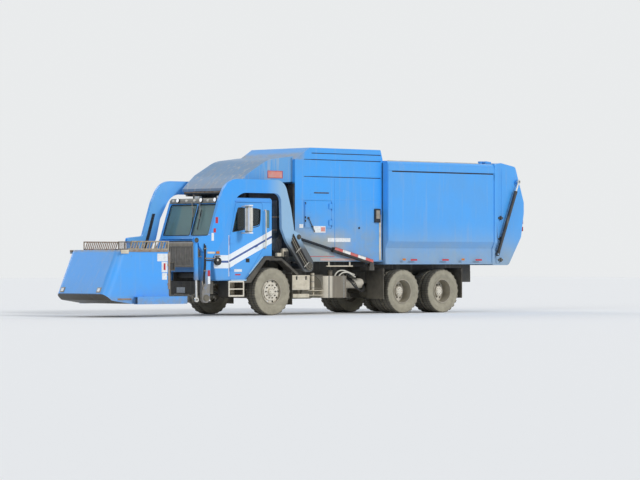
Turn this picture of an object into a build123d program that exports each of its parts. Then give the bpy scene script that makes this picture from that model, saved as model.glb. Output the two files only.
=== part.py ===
from build123d import *
import os
from math import atan2, cos, degrees, hypot, radians, sin

os.makedirs("parts", exist_ok=True)

# A front-loading garbage truck with a cab-over front, two lift arms that pass over the cab,
# and an open collection can with a side arm, carried on the forks.
# Millimetres. X runs forward, Y to the truck's left, Z up. The origin is on the ground,
# in the middle of the overall length and width.

# Overall
nose_reach = 4640    # from the front axle to the can's nose
tail_reach = 8500    # from the front axle to the tailgate's back
front_axle_x = (tail_reach - nose_reach) / 2
nose_x = front_axle_x + nose_reach
tail_x = front_axle_x - tail_reach
gap = 0.3            # between faces that rest on each other
clearance = 6        # between pieces that pass each other

# Wheels
front_tyre_r = 550
front_tyre_width = 310
front_wheel_y = 1065
rear_tyre_r = 525
rear_tyre_width = 280
rear_outer_y = 1080
rear_inner_y = 760
rim_r = 286
rim_wall = 14
rim_flange = 12
bead_inset = 42      # from the tyre's outer face to the rim's flange
rear_axle_spacing = 1340
rear_axle_1_x = front_axle_x - 4180
rear_axle_2_x = rear_axle_1_x - rear_axle_spacing
hub_r = 85
spindle_r = 45
kingpin_y = 940
kingpin_r = 20
axle_tube_r = 62

# Chassis frame
rail_half_gap = 430
rail_height = 270
rail_flange = 80
rail_web = 12
rail_top_z = 1000
rail_front_x = front_axle_x + 1600
rail_rear_x = tail_x + 1250
subframe_front_x = front_axle_x - 1330

# Cab
cab_half_width = 1100
cab_wall = 45
cab_front_x = front_axle_x + 1640
cab_rear_x = front_axle_x - 100
cab_floor_z = 800
cab_arch_z = 1325
cab_roof_z = 2700
windscreen_base_z = 1780
windscreen_top_z = 2610
door_front_x = front_axle_x + 1175
door_rear_x = front_axle_x + 210
door_bottom_z = 830
door_top_z = 2585
glass_thickness = 8

# Lift arms
arm_pivot_x = front_axle_x - 1100
arm_pivot_z = 1130
arm_tube_r = 75
arm_inner_y = 1172
arm_width = 80
fork_pivot_x = front_axle_x + 2020
fork_pivot_z = 420
fork_shaft_r = 70
fork_journal_r = 45

# Cylinders: ends in the truck's frame
lift_base_x = front_axle_x - 3200
lift_base_z = 1220
lift_eye_x = front_axle_x - 780
lift_eye_z = 1810
lift_barrel_length = 1270
lift_rod_length = 1290
lift_barrel_r = 55
lift_rod_r = 32
lift_cylinder_y = 1107
fork_top_x = front_axle_x + 2300
fork_top_z = 1720
fork_eye_x = front_axle_x + 2270
fork_eye_z = 380
fork_barrel_length = 900
fork_rod_length = 1000
fork_barrel_r = 50
fork_rod_r = 25
fork_cylinder_y = arm_inner_y + arm_width / 2
tail_base_x = tail_x + 1020
tail_base_z = 1420
tail_eye_x = tail_x + 270
tail_eye_z = 3230
tail_barrel_length = 1700
tail_rod_length = 1760
tail_barrel_r = 42
tail_rod_r = 24
tail_cylinder_y = 1162
eye_width = 44
pin_r = 22

# Hopper and body
hopper_front_x = front_axle_x - 850
hopper_rear_x = front_axle_x - 3660
hopper_half_width = 1040
hopper_bottom_z = 1240
hopper_top_z = 3905
hopper_front_z = hopper_top_z - 285
body_wall = 50
body_rear_x = tail_x + 1130
body_half_width = 1220
body_bottom_z = 1170
body_top_z = 3650
tailgate_half_width = 1080
tail_hinge_z = 3705
tail_hinge_y = 700
top_door_z = hopper_top_z - 215
top_door_thickness = 50
side_door_front_x = front_axle_x - 1120
side_door_rear_x = front_axle_x - 2000
side_door_bottom_z = 2020
side_door_top_z = 2670

# Collection can
can_half_width = 915
can_wall = 22
can_rear_x = front_axle_x + 2830
can_front_top_x = nose_x - 430
can_top_z = 1500
can_floor_z = 460
can_belly_z = 300
sleeve_y = 993
sleeve_width = 136
sleeve_height = 170
sleeve_wall = 12
sleeve_bottom_z = 290
sleeve_rear_x = front_axle_x + 2290
sleeve_front_x = nose_x - 810

pieces = {}


def side_plane(y):
    """Plane along the truck's side at y, forward to the right; an extrusion runs towards -Y."""
    return Plane.XZ.offset(-y)


def wheel_plane(x, z):
    """Upright plane across the truck through an axle: local x is Y, local y is height over z."""
    return Plane((x, 0, z), x_dir=(0, 1, 0), z_dir=(1, 0, 0))


def outline(corners):
    """Closed face in the sketch that is open. corners: across, up, corner radius."""
    with BuildLine() as line:
        FilletPolyline(
            *[(across, up) for across, up, radius in corners],
            radius=[radius for across, up, radius in corners],
            close=True,
        )
    make_face(line.edges())


def slab(corners, y_high, y_low, mode=Mode.ADD):
    """Side outline extruded across the truck from y_high down to y_low."""
    with BuildSketch(side_plane(y_high)) as side:
        outline(corners)
    extrude(side.sketch, amount=y_high - y_low, mode=mode)


def block(x, y, z, mode=Mode.ADD):
    """Box between two limits on each axis."""
    with Locations(((x[0] + x[1]) / 2, (y[0] + y[1]) / 2, (z[0] + z[1]) / 2)):
        Box(abs(x[1] - x[0]), abs(y[1] - y[0]), abs(z[1] - z[0]), mode=mode)


def cross_bar(x, z, radius, y_low, y_high, mode=Mode.ADD):
    """Round bar or hole across the truck."""
    with BuildSketch(side_plane(y_high)) as end:
        with Locations((x, z)):
            Circle(radius)
    extrude(end.sketch, amount=y_high - y_low, mode=mode)


def rod(start, end, radius, mode=Mode.ADD):
    """Round bar or hole from one point to another."""
    run = Vector(*end) - Vector(*start)
    with BuildSketch(Plane(start, z_dir=run)) as end:
        Circle(radius)
    extrude(end.sketch, amount=run.length, mode=mode)


def post(x, y, radius, z_low, z_high, mode=Mode.ADD):
    """Upright round bar or hole."""
    with BuildSketch(Plane.XY.offset(z_low)) as end:
        with Locations((x, y)):
            Circle(radius)
    extrude(end.sketch, amount=z_high - z_low, mode=mode)


def hinge_pin(x, y, wall_y, z_low, z_high):
    """Upright pin held by two lugs on a wall; a door's barrel turns on it between z_low and z_high."""
    post(x, y, 8, z_low - 30, z_high + 30)
    side = 1 if y > wall_y else -1
    for z in (z_low - 30, z_high + 5):
        block((x - 12, x + 12), (wall_y - side * 3, y + side * 12), (z, z + 25))


def hinge_barrel(x, y, wall_y, z_low, z_high, reach):
    """Barrel round a hinge pin with a leaf on the door's face; reach is where the leaf ends in x."""
    side = 1 if y > wall_y else -1
    step = 1 if reach > x else -1
    post(x, y, 13, z_low, z_high)
    block((x, x + step * 24), (wall_y + side * 2, y + side * 8), (z_low, z_high))
    block((x + step * 22, reach), (wall_y - side * 3, y + side * 8), (z_low, z_high))
    post(x, y, 8 + gap, z_low - 1, z_high + 1, mode=Mode.SUBTRACT)


def keep(name, part):
    """Label a finished piece and put it on the list that is written at the end."""
    part.label = name
    pieces[name] = part


# Wheels. Each tyre is one turned ring, each rim a turned barrel with its disc and hub.


def tyre_ring(x, y, radius, width):
    """Tyre about a cross axis at height radius; its section is drawn as y, distance from the axle."""
    with BuildSketch(wheel_plane(x, radius)) as section:
        half = width / 2
        side = radius - rim_r
        outline(
            [
                (y - half + bead_inset, rim_r, 0),
                (y + half - bead_inset, rim_r, 0),
                (y + half - bead_inset, rim_r + rim_flange + 6, 0),
                (y + half, rim_r + 0.5 * side, 60),
                (y + half - 14, radius - 18, 26),
                (y + half - 44, radius, 26),
                (y - half + 44, radius, 26),
                (y - half + 14, radius - 18, 26),
                (y - half, rim_r + 0.5 * side, 60),
                (y - half + bead_inset, rim_r + rim_flange + 6, 0),
            ]
        )
    revolve(section.sketch, axis=Axis((x, 0, radius), (0, 1, 0)))


def turned(x, z, sections, mode=Mode.ADD):
    """Rings about a cross axis. sections: y from, y to, inner radius, outer radius."""
    for y_from, y_to, inner, outer in sections:
        with BuildSketch(wheel_plane(x, z)) as section:
            with Locations(((y_from + y_to) / 2, (inner + outer) / 2)):
                Rectangle(abs(y_to - y_from), outer - inner)
        revolve(section.sketch, axis=Axis((x, 0, z), (0, 1, 0)), mode=mode)


barrel_r = rim_r - gap
front_disc_y = front_wheel_y + 85
rear_disc_y = (rear_outer_y + rear_inner_y) / 2
front_rim_half = front_tyre_width / 2 - bead_inset + gap
rear_rim_half = rear_tyre_width / 2 - bead_inset + gap
flange_r = barrel_r + rim_flange
inner_r = barrel_r - rim_wall
hand_hole_r = 26
hand_hole_ring = 222

for side, sign in (("left", 1), ("right", -1)):
    with BuildPart() as tyre:
        tyre_ring(front_axle_x, sign * front_wheel_y, front_tyre_r, front_tyre_width)
    keep(f"front_tyre_{side}", tyre.part)
    with BuildPart() as rim:
        rim_in_y = front_wheel_y - front_rim_half
        rim_out_y = front_wheel_y + front_rim_half
        turned(
            front_axle_x,
            front_tyre_r,
            [
                (sign * rim_in_y, sign * rim_out_y, inner_r, barrel_r),
                (sign * rim_in_y, sign * (rim_in_y - rim_flange), inner_r, flange_r),
                (sign * rim_out_y, sign * (rim_out_y + rim_flange), inner_r, flange_r),
                (sign * (front_disc_y - 40), sign * (front_disc_y - 22), 205, inner_r + 1),
                (sign * (front_disc_y - 40), sign * front_disc_y, 190, 206),
                (sign * (front_disc_y - 16), sign * front_disc_y, hub_r - 5, 191),
                (sign * (front_wheel_y - 20), sign * (front_disc_y + 55), spindle_r + gap, hub_r),
                (sign * (front_disc_y + 25), sign * (front_disc_y + 60), 0, hub_r - 10),
                (sign * (front_wheel_y - 20), sign * (front_wheel_y + 30), hub_r - 1, 200),
            ],
        )
        with Locations(Plane((front_axle_x, 0, front_tyre_r), x_dir=(1, 0, 0), z_dir=(0, 1, 0))):
            with PolarLocations(hand_hole_ring + 20, 10):
                with Locations((0, 0, sign * front_disc_y)):
                    Cylinder(hand_hole_r, 120, mode=Mode.SUBTRACT)
    keep(f"front_rim_{side}", rim.part)

for row, axle_x in ((1, rear_axle_1_x), (2, rear_axle_2_x)):
    for side, sign in (("left", 1), ("right", -1)):
        with BuildPart() as tyres:
            for y in (rear_outer_y, rear_inner_y):
                tyre_ring(axle_x, sign * y, rear_tyre_r, rear_tyre_width)
        keep(f"rear_tyres_{row}_{side}", tyres.part)
        with BuildPart() as rims:
            rim_in_y = rear_inner_y - rear_rim_half
            rim_out_y = rear_outer_y + rear_rim_half
            turned(
                axle_x,
                rear_tyre_r,
                [
                    (sign * rim_in_y, sign * rim_out_y, inner_r, barrel_r),
                    (sign * rim_out_y, sign * (rim_out_y + rim_flange), inner_r, flange_r),
                    (sign * rim_in_y, sign * (rim_in_y - rim_flange), inner_r, flange_r),
                    (sign * (rear_disc_y - 15), sign * (rear_disc_y + 15), hub_r, inner_r + 1),
                    (sign * (rear_inner_y - 60), sign * (rear_disc_y + 150), axle_tube_r + gap, hub_r + 25),
                    (sign * (rear_disc_y + 120), sign * (rear_disc_y + 165), 0, hub_r + 5),
                    (sign * (rear_inner_y - 60), sign * (rear_inner_y + 100), hub_r + 20, 205),
                ],
            )
            with Locations(Plane((axle_x, 0, rear_tyre_r), x_dir=(1, 0, 0), z_dir=(0, 1, 0))):
                with PolarLocations(hand_hole_ring, 8):
                    with Locations((0, 0, sign * rear_disc_y)):
                        Cylinder(hand_hole_r, 120, mode=Mode.SUBTRACT)
        keep(f"rear_rims_{row}_{side}", rims.part)

# Front axle: a forged beam with a drop centre, its leaf springs and their hangers.
beam_depth = 90
spring_y = rail_half_gap - 35
spring_half = 720
spring_width = 76
boss_r = 50
boss_half = 58
with BuildPart() as front_axle:
    with BuildSketch(Plane.YZ.offset(front_axle_x - 45)):
        outline(
            [
                (-kingpin_y, 500, 0),
                (-700, 500, 60),
                (-560, 390, 60),
                (560, 390, 60),
                (700, 500, 60),
                (kingpin_y, 500, 0),
                (kingpin_y, 500 + beam_depth, 0),
                (660, 500 + beam_depth, 60),
                (520, 390 + beam_depth, 60),
                (-520, 390 + beam_depth, 60),
                (-660, 500 + beam_depth, 60),
                (-kingpin_y, 500 + beam_depth, 0),
            ]
        )
    extrude(amount=90)
    for sign in (1, -1):
        post(front_axle_x, sign * kingpin_y, boss_r, front_tyre_r - boss_half, front_tyre_r + boss_half)
        post(
            front_axle_x, sign * kingpin_y, kingpin_r + gap,
            front_tyre_r - boss_half - 1, front_tyre_r + boss_half + 1, mode=Mode.SUBTRACT,
        )
        spring_low = sign * spring_y - spring_width / 2
        spring_high = sign * spring_y + spring_width / 2
        seat_z = 390 + beam_depth
        with BuildSketch(side_plane(spring_high)):
            with BuildLine():
                top = ThreePointArc(
                    (front_axle_x - spring_half, 690),
                    (front_axle_x, seat_z + 90),
                    (front_axle_x + spring_half, 690),
                )
                low = ThreePointArc(
                    (front_axle_x + spring_half, 660),
                    (front_axle_x, seat_z - 1),
                    (front_axle_x - spring_half, 660),
                )
                Line(top @ 1, low @ 0)
                Line(low @ 1, top @ 0)
            make_face()
        extrude(amount=spring_width)
        for end in (1, -1):
            eye_x = front_axle_x + end * spring_half
            cross_bar(eye_x, 675, 32, spring_low, spring_high)
            block(
                (eye_x - 25, eye_x + 25),
                (spring_low - 8, spring_high + 8),
                (675, rail_top_z - rail_height - gap),
            )
keep("front_axle", front_axle.part)

# Knuckles: two lugs on the kingpin, a flange and the spindle that carries the wheel.
for side, sign in (("left", 1), ("right", -1)):
    with BuildPart() as knuckle:
        lug_low = front_tyre_r - boss_half - clearance
        lug_high = front_tyre_r + boss_half + clearance
        for z_low, z_high in ((lug_low - 45, lug_low), (lug_high, lug_high + 45)):
            post(front_axle_x, sign * kingpin_y, boss_r, z_low, z_high)
            block(
                (front_axle_x - boss_r, front_axle_x + boss_r),
                (sign * kingpin_y, sign * (kingpin_y + 85)),
                (z_low, z_high),
            )
        block(
            (front_axle_x - 60, front_axle_x + 60),
            (sign * (kingpin_y + 60), sign * (kingpin_y + 85)),
            (lug_low - 45, lug_high + 45),
        )
        post(front_axle_x, sign * kingpin_y, kingpin_r, lug_low - 45, lug_high + 45)
        y_ends = sorted((sign * (kingpin_y + 80), sign * (front_disc_y + 15)))
        cross_bar(front_axle_x, front_tyre_r, spindle_r, y_ends[0], y_ends[1])
        block(
            (front_axle_x - 210, front_axle_x),
            (sign * (kingpin_y - 20), sign * (kingpin_y + 20)),
            (lug_low - 45, lug_low - 5),
        )
    keep(f"knuckle_{side}", knuckle.part)

# Chassis frame: two channel rails with crossmembers, the body's subframe on top,
# bearing blocks for the arms' torque tube and outriggers for the lift cylinders.
crossmember_xs = [front_axle_x + offset for offset in (1450, -2050, -3250, -4850)]
crossmember_xs += [rail_rear_x + 950, rail_rear_x + 70]
subframe_half = 70
outrigger_x = lift_base_x
outrigger_top_z = lift_base_z - 70
ear_gap = eye_width / 2 + 4
ear_wall = 22
bearing_half = 60
with BuildPart() as frame:
    for sign in (1, -1):
        with BuildSketch(Plane.YZ.offset(rail_rear_x)):
            outline(
                [
                    (sign * rail_half_gap, rail_top_z - rail_height, 0),
                    (sign * rail_half_gap, rail_top_z, 0),
                    (sign * (rail_half_gap - rail_flange), rail_top_z, 0),
                    (sign * (rail_half_gap - rail_flange), rail_top_z - rail_web, 0),
                    (sign * (rail_half_gap - rail_web), rail_top_z - rail_web, 0),
                    (sign * (rail_half_gap - rail_web), rail_top_z - rail_height + rail_web, 0),
                    (sign * (rail_half_gap - rail_flange), rail_top_z - rail_height + rail_web, 0),
                    (sign * (rail_half_gap - rail_flange), rail_top_z - rail_height, 0),
                ]
            )
        extrude(amount=rail_front_x - rail_rear_x)
        rail_y = sign * (rail_half_gap - 40)
        for x_low, x_high, top_z in (
            (hopper_rear_x, subframe_front_x, hopper_bottom_z - gap),
            (rail_rear_x, hopper_rear_x, body_bottom_z - gap),
        ):
            width = (rail_y - subframe_half / 2, rail_y + subframe_half / 2)
            block((x_low, x_high), width, (rail_top_z, top_z))
        block(
            (arm_pivot_x - 110, arm_pivot_x + 110),
            (rail_y - bearing_half, rail_y + bearing_half),
            (rail_top_z, arm_pivot_z + arm_tube_r + 20),
        )
        for ear_y in (lift_cylinder_y - ear_gap, lift_cylinder_y + ear_gap + ear_wall):
            slab(
                [
                    (outrigger_x - 70, outrigger_top_z - 100, 0),
                    (outrigger_x + 70, outrigger_top_z - 100, 0),
                    (outrigger_x + 55, lift_base_z + 45, 40),
                    (outrigger_x - 55, lift_base_z + 45, 40),
                ],
                sign * ear_y if sign > 0 else sign * ear_y + ear_wall,
                sign * ear_y - ear_wall if sign > 0 else sign * ear_y,
            )
        block(
            (outrigger_x - 80, outrigger_x + 80),
            (sign * (rail_half_gap - 20), sign * (lift_cylinder_y + ear_gap + ear_wall)),
            (outrigger_top_z - 120, outrigger_top_z - 30),
        )
        pin_half = ear_gap + 10
        pin_ends = sorted((sign * (lift_cylinder_y - pin_half), sign * (lift_cylinder_y + pin_half)))
        cross_bar(lift_base_x, lift_base_z, pin_r, pin_ends[0], pin_ends[1])
    for x in crossmember_xs:
        block(
            (x - 45, x + 45),
            (-rail_half_gap + 5, rail_half_gap - 5),
            (rail_top_z - 140, rail_top_z - 30),
        )
    cross_bar(
        arm_pivot_x, arm_pivot_z, arm_tube_r + gap,
        -rail_half_gap - bearing_half, rail_half_gap + bearing_half, mode=Mode.SUBTRACT,
    )
keep("frame", frame.part)

# Engine and gearbox: one plain block between the rails, under and behind the seats.
with BuildPart() as engine:
    block((front_axle_x - 950, front_axle_x + 90), (-335, 335), (620, 1270))
    block((front_axle_x - 1750, front_axle_x - 945), (-230, 230), (640, 985))
    for x in (front_axle_x - 30, front_axle_x - 800):
        reach = rail_half_gap - rail_web - gap
        block((x - 60, x + 60), (-reach, reach), (800, 880))
keep("engine", engine.part)

# Driven axles and propeller shafts.
bowl_r = 205
with BuildPart() as drive_line:
    for x in (rear_axle_1_x, rear_axle_2_x):
        cross_bar(x, rear_tyre_r, axle_tube_r, -rear_disc_y - 40, rear_disc_y + 40)
        with BuildSketch(wheel_plane(x, rear_tyre_r)):
            outline([(-230, 0, 0), (230, 0, 0), (150, bowl_r, 90), (-150, bowl_r, 90)])
        revolve(axis=Axis((x, 0, rear_tyre_r), (0, 1, 0)))
    rod((front_axle_x - 1766, 0, 800), (rear_axle_1_x, 0, rear_tyre_r + 60), 55)
    rod((rear_axle_1_x, 0, rear_tyre_r + 40), (rear_axle_2_x, 0, rear_tyre_r + 40), 45)
keep("drive_line", drive_line.part)

# Rear suspension: a walking beam each side, under both axles, hung from a saddle on the rail.
beam_y = 520
beam_width = 70
bogie_x = (rear_axle_1_x + rear_axle_2_x) / 2
beam_top = rear_tyre_r - axle_tube_r - gap
with BuildPart() as rear_suspension:
    for sign in (1, -1):
        y_high = sign * beam_y + beam_width / 2
        slab(
            [
                (rear_axle_2_x - 110, beam_top - 90, 40),
                (bogie_x - 200, beam_top - 130, 60),
                (bogie_x + 200, beam_top - 130, 60),
                (rear_axle_1_x + 110, beam_top - 90, 40),
                (rear_axle_1_x + 110, beam_top, 20),
                (rear_axle_1_x - 200, beam_top, 60),
                (bogie_x + 130, beam_top + 120, 60),
                (bogie_x - 130, beam_top + 120, 60),
                (rear_axle_2_x + 200, beam_top, 60),
                (rear_axle_2_x - 110, beam_top, 20),
            ],
            y_high,
            y_high - beam_width,
        )
        saddle = sorted((sign * (rail_half_gap + gap), sign * (beam_y + 25)))
        slab(
            [
                (bogie_x - 90, beam_top + 60, 0),
                (bogie_x + 90, beam_top + 60, 0),
                (bogie_x + 260, rail_top_z - 30, 0),
                (bogie_x - 260, rail_top_z - 30, 0),
            ],
            saddle[1],
            saddle[0],
        )
keep("rear_suspension", rear_suspension.part)

# Front bumper: a folded channel across the nose.
bumper_low_z = 500
bumper_high_z = cab_floor_z - 10
bumper_wall = 15
with BuildPart() as bumper:
    with BuildSketch(Plane.XY.offset(bumper_low_z)):
        outline(
            [
                (rail_front_x + gap, 1000, 0),
                (rail_front_x + gap, -1000, 0),
                (rail_front_x + 90, -1000, 20),
                (rail_front_x + 150, -820, 60),
                (rail_front_x + 150, 820, 60),
                (rail_front_x + 90, 1000, 20),
            ]
        )
    extrude(amount=bumper_high_z - bumper_low_z)
    with BuildSketch(Plane.XY.offset(bumper_low_z + bumper_wall)):
        outline(
            [
                (rail_front_x - 10, 985, 0),
                (rail_front_x - 10, 470, 0),
                (rail_front_x + 75, 470, 0),
                (rail_front_x + 75, 985, 0),
            ]
        )
        outline(
            [
                (rail_front_x - 10, -985, 0),
                (rail_front_x - 10, -470, 0),
                (rail_front_x + 75, -470, 0),
                (rail_front_x + 75, -985, 0),
            ]
        )
    extrude(amount=bumper_high_z - bumper_low_z - 2 * bumper_wall, mode=Mode.SUBTRACT)
keep("bumper", bumper.part)

# Cab shell. Side outline: across, up, corner radius.
cab_side = [
    (cab_rear_x, cab_arch_z, 0),
    (front_axle_x + 150, cab_arch_z, 40),
    (front_axle_x + 620, cab_floor_z, 30),
    (cab_front_x - 40, cab_floor_z, 50),
    (cab_front_x + 20, 1150, 200),
    (cab_front_x - 30, 1560, 200),
    (front_axle_x + 1475, windscreen_base_z, 60),
    (front_axle_x + 1190, windscreen_top_z, 60),
    (front_axle_x + 1040, cab_roof_z, 90),
    (cab_rear_x, cab_roof_z, 70),
]


def inset_profile(amount):
    """Cab side outline drawn inwards by the wall, as a face in the open sketch."""
    outline(cab_side)
    offset(amount=-amount, kind=Kind.INTERSECTION, mode=Mode.REPLACE)


door_side = [
    (front_axle_x + 740, door_bottom_z, 30),
    (door_front_x, door_bottom_z, 25),
    (door_front_x, 1850, 40),
    (front_axle_x + 1010, door_top_z, 60),
    (door_rear_x, door_top_z, 60),
    (door_rear_x, 1500, 60),
]
door_window = [
    (front_axle_x + 1105, 1915, 30),
    (front_axle_x + 955, 2470, 40),
    (front_axle_x + 265, 2450, 40),
    (front_axle_x + 285, 2080, 90),
]
quarter_window = [
    (front_axle_x + 110, 2010, 15),
    (front_axle_x + 110, 2420, 15),
    (front_axle_x - 10, 2420, 15),
    (front_axle_x - 10, 2010, 15),
]
tunnel_half = 480
tunnel_top_z = rail_top_z + gap
hinge_x = door_front_x + 15
hinge_y = cab_half_width + 15
door_hinge_zs = (1050, 1650)
hinge_length = 120
with BuildPart() as cab_block:
    slab(cab_side, cab_half_width, -cab_half_width)
    front_corners = cab_block.edges().filter_by(lambda e: abs(e.center().Y) > cab_half_width - 1)
    front_corners = front_corners.filter_by(lambda e: e.center().X > front_axle_x + 1100)
    fillet(front_corners, 38)

with BuildPart() as cab_space:
    with BuildSketch(side_plane(cab_half_width - cab_wall)):
        inset_profile(cab_wall)
    extrude(amount=2 * (cab_half_width - cab_wall))
    block(
        (cab_rear_x, cab_front_x + 100),
        (-tunnel_half - cab_wall, tunnel_half + cab_wall),
        (cab_floor_z, tunnel_top_z + cab_wall),
        mode=Mode.SUBTRACT,
    )

with BuildPart() as cab:
    add(cab_block.part)
    block(
        (cab_rear_x - 1, cab_front_x + 100),
        (-tunnel_half, tunnel_half),
        (cab_floor_z - 1, tunnel_top_z),
        mode=Mode.SUBTRACT,
    )
    add(cab_space.part, mode=Mode.SUBTRACT)
    with BuildSketch(side_plane(cab_half_width + 1)):
        outline(door_side)
        offset(amount=clearance, mode=Mode.REPLACE)
    extrude(amount=2 * cab_half_width + 2, mode=Mode.SUBTRACT)
    slab(quarter_window, cab_half_width + 1, -cab_half_width - 1, mode=Mode.SUBTRACT)
    block((cab_rear_x - 1, cab_rear_x + cab_wall + 1), (-520, 520), (2050, 2480), mode=Mode.SUBTRACT)
    screen_tilt = degrees(atan2(285, windscreen_top_z - windscreen_base_z))
    screen_middle = Vector(front_axle_x + 1332, 0, (windscreen_base_z + windscreen_top_z) / 2)
    screen_plane = Plane(
        screen_middle,
        x_dir=(0, 1, 0),
        z_dir=(cos(radians(screen_tilt)), 0, sin(radians(screen_tilt))),
    )
    screen_half_height = 375
    screen_half_width = 480
    with BuildSketch(screen_plane.offset(-cab_wall - 30)):
        with Locations((505, 0), (-505, 0)):
            RectangleRounded(2 * screen_half_width, 2 * screen_half_height, 60)
    extrude(amount=150, mode=Mode.SUBTRACT)
    for sign in (1, -1):
        for z in door_hinge_zs:
            hinge_pin(hinge_x, sign * hinge_y, sign * cab_half_width, z, z + hinge_length)
keep("cab_shell", cab.part)

# Cab glass: windscreen halves, quarter windows and the rear window.
with BuildPart() as cab_glass:
    with BuildSketch(screen_plane.offset(-cab_wall + 12)):
        with Locations((505, 0), (-505, 0)):
            RectangleRounded(2 * screen_half_width - 2 * gap, 2 * screen_half_height - 2 * gap, 60 - gap)
    extrude(amount=glass_thickness)
    for y in (cab_half_width - 15, -cab_half_width + 15 + glass_thickness):
        with BuildSketch(side_plane(y)):
            outline(quarter_window)
            offset(amount=-gap, mode=Mode.REPLACE)
        extrude(amount=glass_thickness)
    block(
        (cab_rear_x + 20, cab_rear_x + 20 + glass_thickness),
        (-520 + gap, 520 - gap),
        (2050 + gap, 2480 - gap),
    )
keep("cab_glass", cab_glass.part)

# Cab inside: seats, dashboard with column and steering wheel.
seat_floor_z = cab_arch_z + cab_wall
with BuildPart() as seats:
    for y in (600, -600):
        seat_x = (front_axle_x - 20, front_axle_x + 430)
        block(seat_x, (y - 230, y + 230), (seat_floor_z + gap, seat_floor_z + 90))
        with BuildSketch(side_plane(y + 250)):
            outline(
                [
                    (front_axle_x - 20, seat_floor_z + 90, 0),
                    (front_axle_x + 500, seat_floor_z + 90, 40),
                    (front_axle_x + 510, seat_floor_z + 220, 50),
                    (front_axle_x + 150, seat_floor_z + 200, 60),
                    (front_axle_x + 90, seat_floor_z + 820, 50),
                    (front_axle_x - 45, seat_floor_z + 820, 50),
                ]
            )
        extrude(amount=500)
keep("cab_seats", seats.part)

wheel_tilt = 25
steer_centre = Vector(front_axle_x + 850, 600, 1830)
with BuildPart() as dashboard:
    slab(
        [
            (front_axle_x + 1230, 1300, 60),
            (cab_front_x, 1300, 0),
            (cab_front_x, 1700, 0),
            (front_axle_x + 1130, 1680, 60),
            (front_axle_x + 1120, 1560, 40),
        ],
        cab_half_width - cab_wall - clearance,
        -cab_half_width + cab_wall + clearance,
    )
    add(cab_space.part, mode=Mode.INTERSECT)
    column_foot = steer_centre + Vector(420, 0, -250)
    rod(tuple(column_foot), tuple(steer_centre), 28)
    column_angle = radians(90 - wheel_tilt)
    wheel_face = Plane(steer_centre, z_dir=(-cos(column_angle), 0, sin(column_angle)))
    with BuildSketch(wheel_face):
        Circle(225)
        Circle(198, mode=Mode.SUBTRACT)
        with PolarLocations(0, 3):
            with Locations((100, 0)):
                Rectangle(205, 36)
        Circle(52)
    extrude(amount=24)
keep("dashboard", dashboard.part)

# Grille: a surround with upright slats, in front of the cab's nose.
grille_half_width = 510
grille_low_z = 1110
grille_high_z = 1690
grille_x = cab_front_x + 25
slat_pitch = 60
with BuildPart() as grille:
    width = (-grille_half_width, grille_half_width)
    block((cab_front_x - 125, grille_x + 90), width, (grille_low_z, grille_high_z))
    block(
        (grille_x + 25, grille_x + 91),
        (-grille_half_width + 45, grille_half_width - 45),
        (grille_low_z + 45, grille_high_z - 110),
        mode=Mode.SUBTRACT,
    )
    slats = int((2 * grille_half_width - 110) // slat_pitch)
    with Locations((grille_x + 48, 0, (grille_low_z + grille_high_z - 65) / 2)):
        with GridLocations(1, slat_pitch, 1, slats):
            Box(50, 14, grille_high_z - grille_low_z - 150)
    upper_edges = grille.edges().filter_by(Axis.X).sort_by(Axis.Z)[-2:]
    fillet(upper_edges, 60)
    add(cab_block.part, mode=Mode.SUBTRACT)
keep("grille", grille.part)

# Lamps: headlamps and indicators at the cab's corners, two marker lamps on the roof's edge.
with BuildPart() as lamps:
    for sign in (1, -1):
        for z, r in ((1265, 85), (1450, 55)):
            with BuildSketch(Plane.YZ.offset(cab_front_x - 24)):
                with Locations((sign * 880, z)):
                    RectangleRounded(2.2 * r, 1.7 * r, 20)
            extrude(amount=70)
        with BuildSketch(Plane.XY.offset(cab_roof_z)):
            with Locations((front_axle_x + 880, sign * 400)):
                RectangleRounded(110, 170, 30)
        extrude(amount=55)
    add(cab_block.part, mode=Mode.SUBTRACT)
keep("lamps", lamps.part)

# Fenders: rubber flares round the front wheels, under the cab's arch.
fender_high_y = 1165
fender_low_y = 930
flare = 62           # depth of the guard's roof under the cab's arch
lip = 42             # height of the outer lip over the arch
lip_inset = 50
lip_low_z = 755
mudguard = [
    (front_axle_x + 60, cab_arch_z - gap, 0),
    (front_axle_x - 330, cab_arch_z - gap, 80),
    (front_axle_x - 850, 960, 0),
    (front_axle_x - 815, 915, 0),
    (front_axle_x - 315, cab_arch_z - flare, 60),
    (front_axle_x + 60, cab_arch_z - flare, 0),
]
front_lip = [
    (front_axle_x + 800, lip_low_z, 0),
    (front_axle_x + 160, cab_arch_z + lip, 60),
    (cab_rear_x, cab_arch_z + lip, 0),
    (cab_rear_x, cab_arch_z - lip_inset, 0),
    (front_axle_x + 150, cab_arch_z - lip_inset, 50),
    (front_axle_x + 610, lip_low_z, 0),
]
with BuildPart() as fenders:
    for sign in (1, -1):
        guard_ends = sorted((sign * fender_high_y, sign * fender_low_y))
        lip_ends = sorted((sign * fender_high_y, sign * (cab_half_width + gap)))
        slab(mudguard, guard_ends[1], guard_ends[0])
        slab(front_lip, lip_ends[1], lip_ends[0])
keep("fenders", fenders.part)

# Steps: a hung box each side with two open treads.
step_rear_x = front_axle_x + 810
step_front_x = front_axle_x + 1275
with BuildPart() as steps:
    for sign in (1, -1):
        y_pair = (sign * 800, sign * 1160)
        block((step_rear_x, step_front_x), y_pair, (440, cab_floor_z - gap))
        for z_low, z_high in ((475, 600), (625, cab_floor_z - 35)):
            block(
                (step_rear_x + 30, step_front_x - 30),
                (sign * 850, sign * 1161),
                (z_low, z_high),
                mode=Mode.SUBTRACT,
            )
keep("cab_steps", steps.part)

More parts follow.
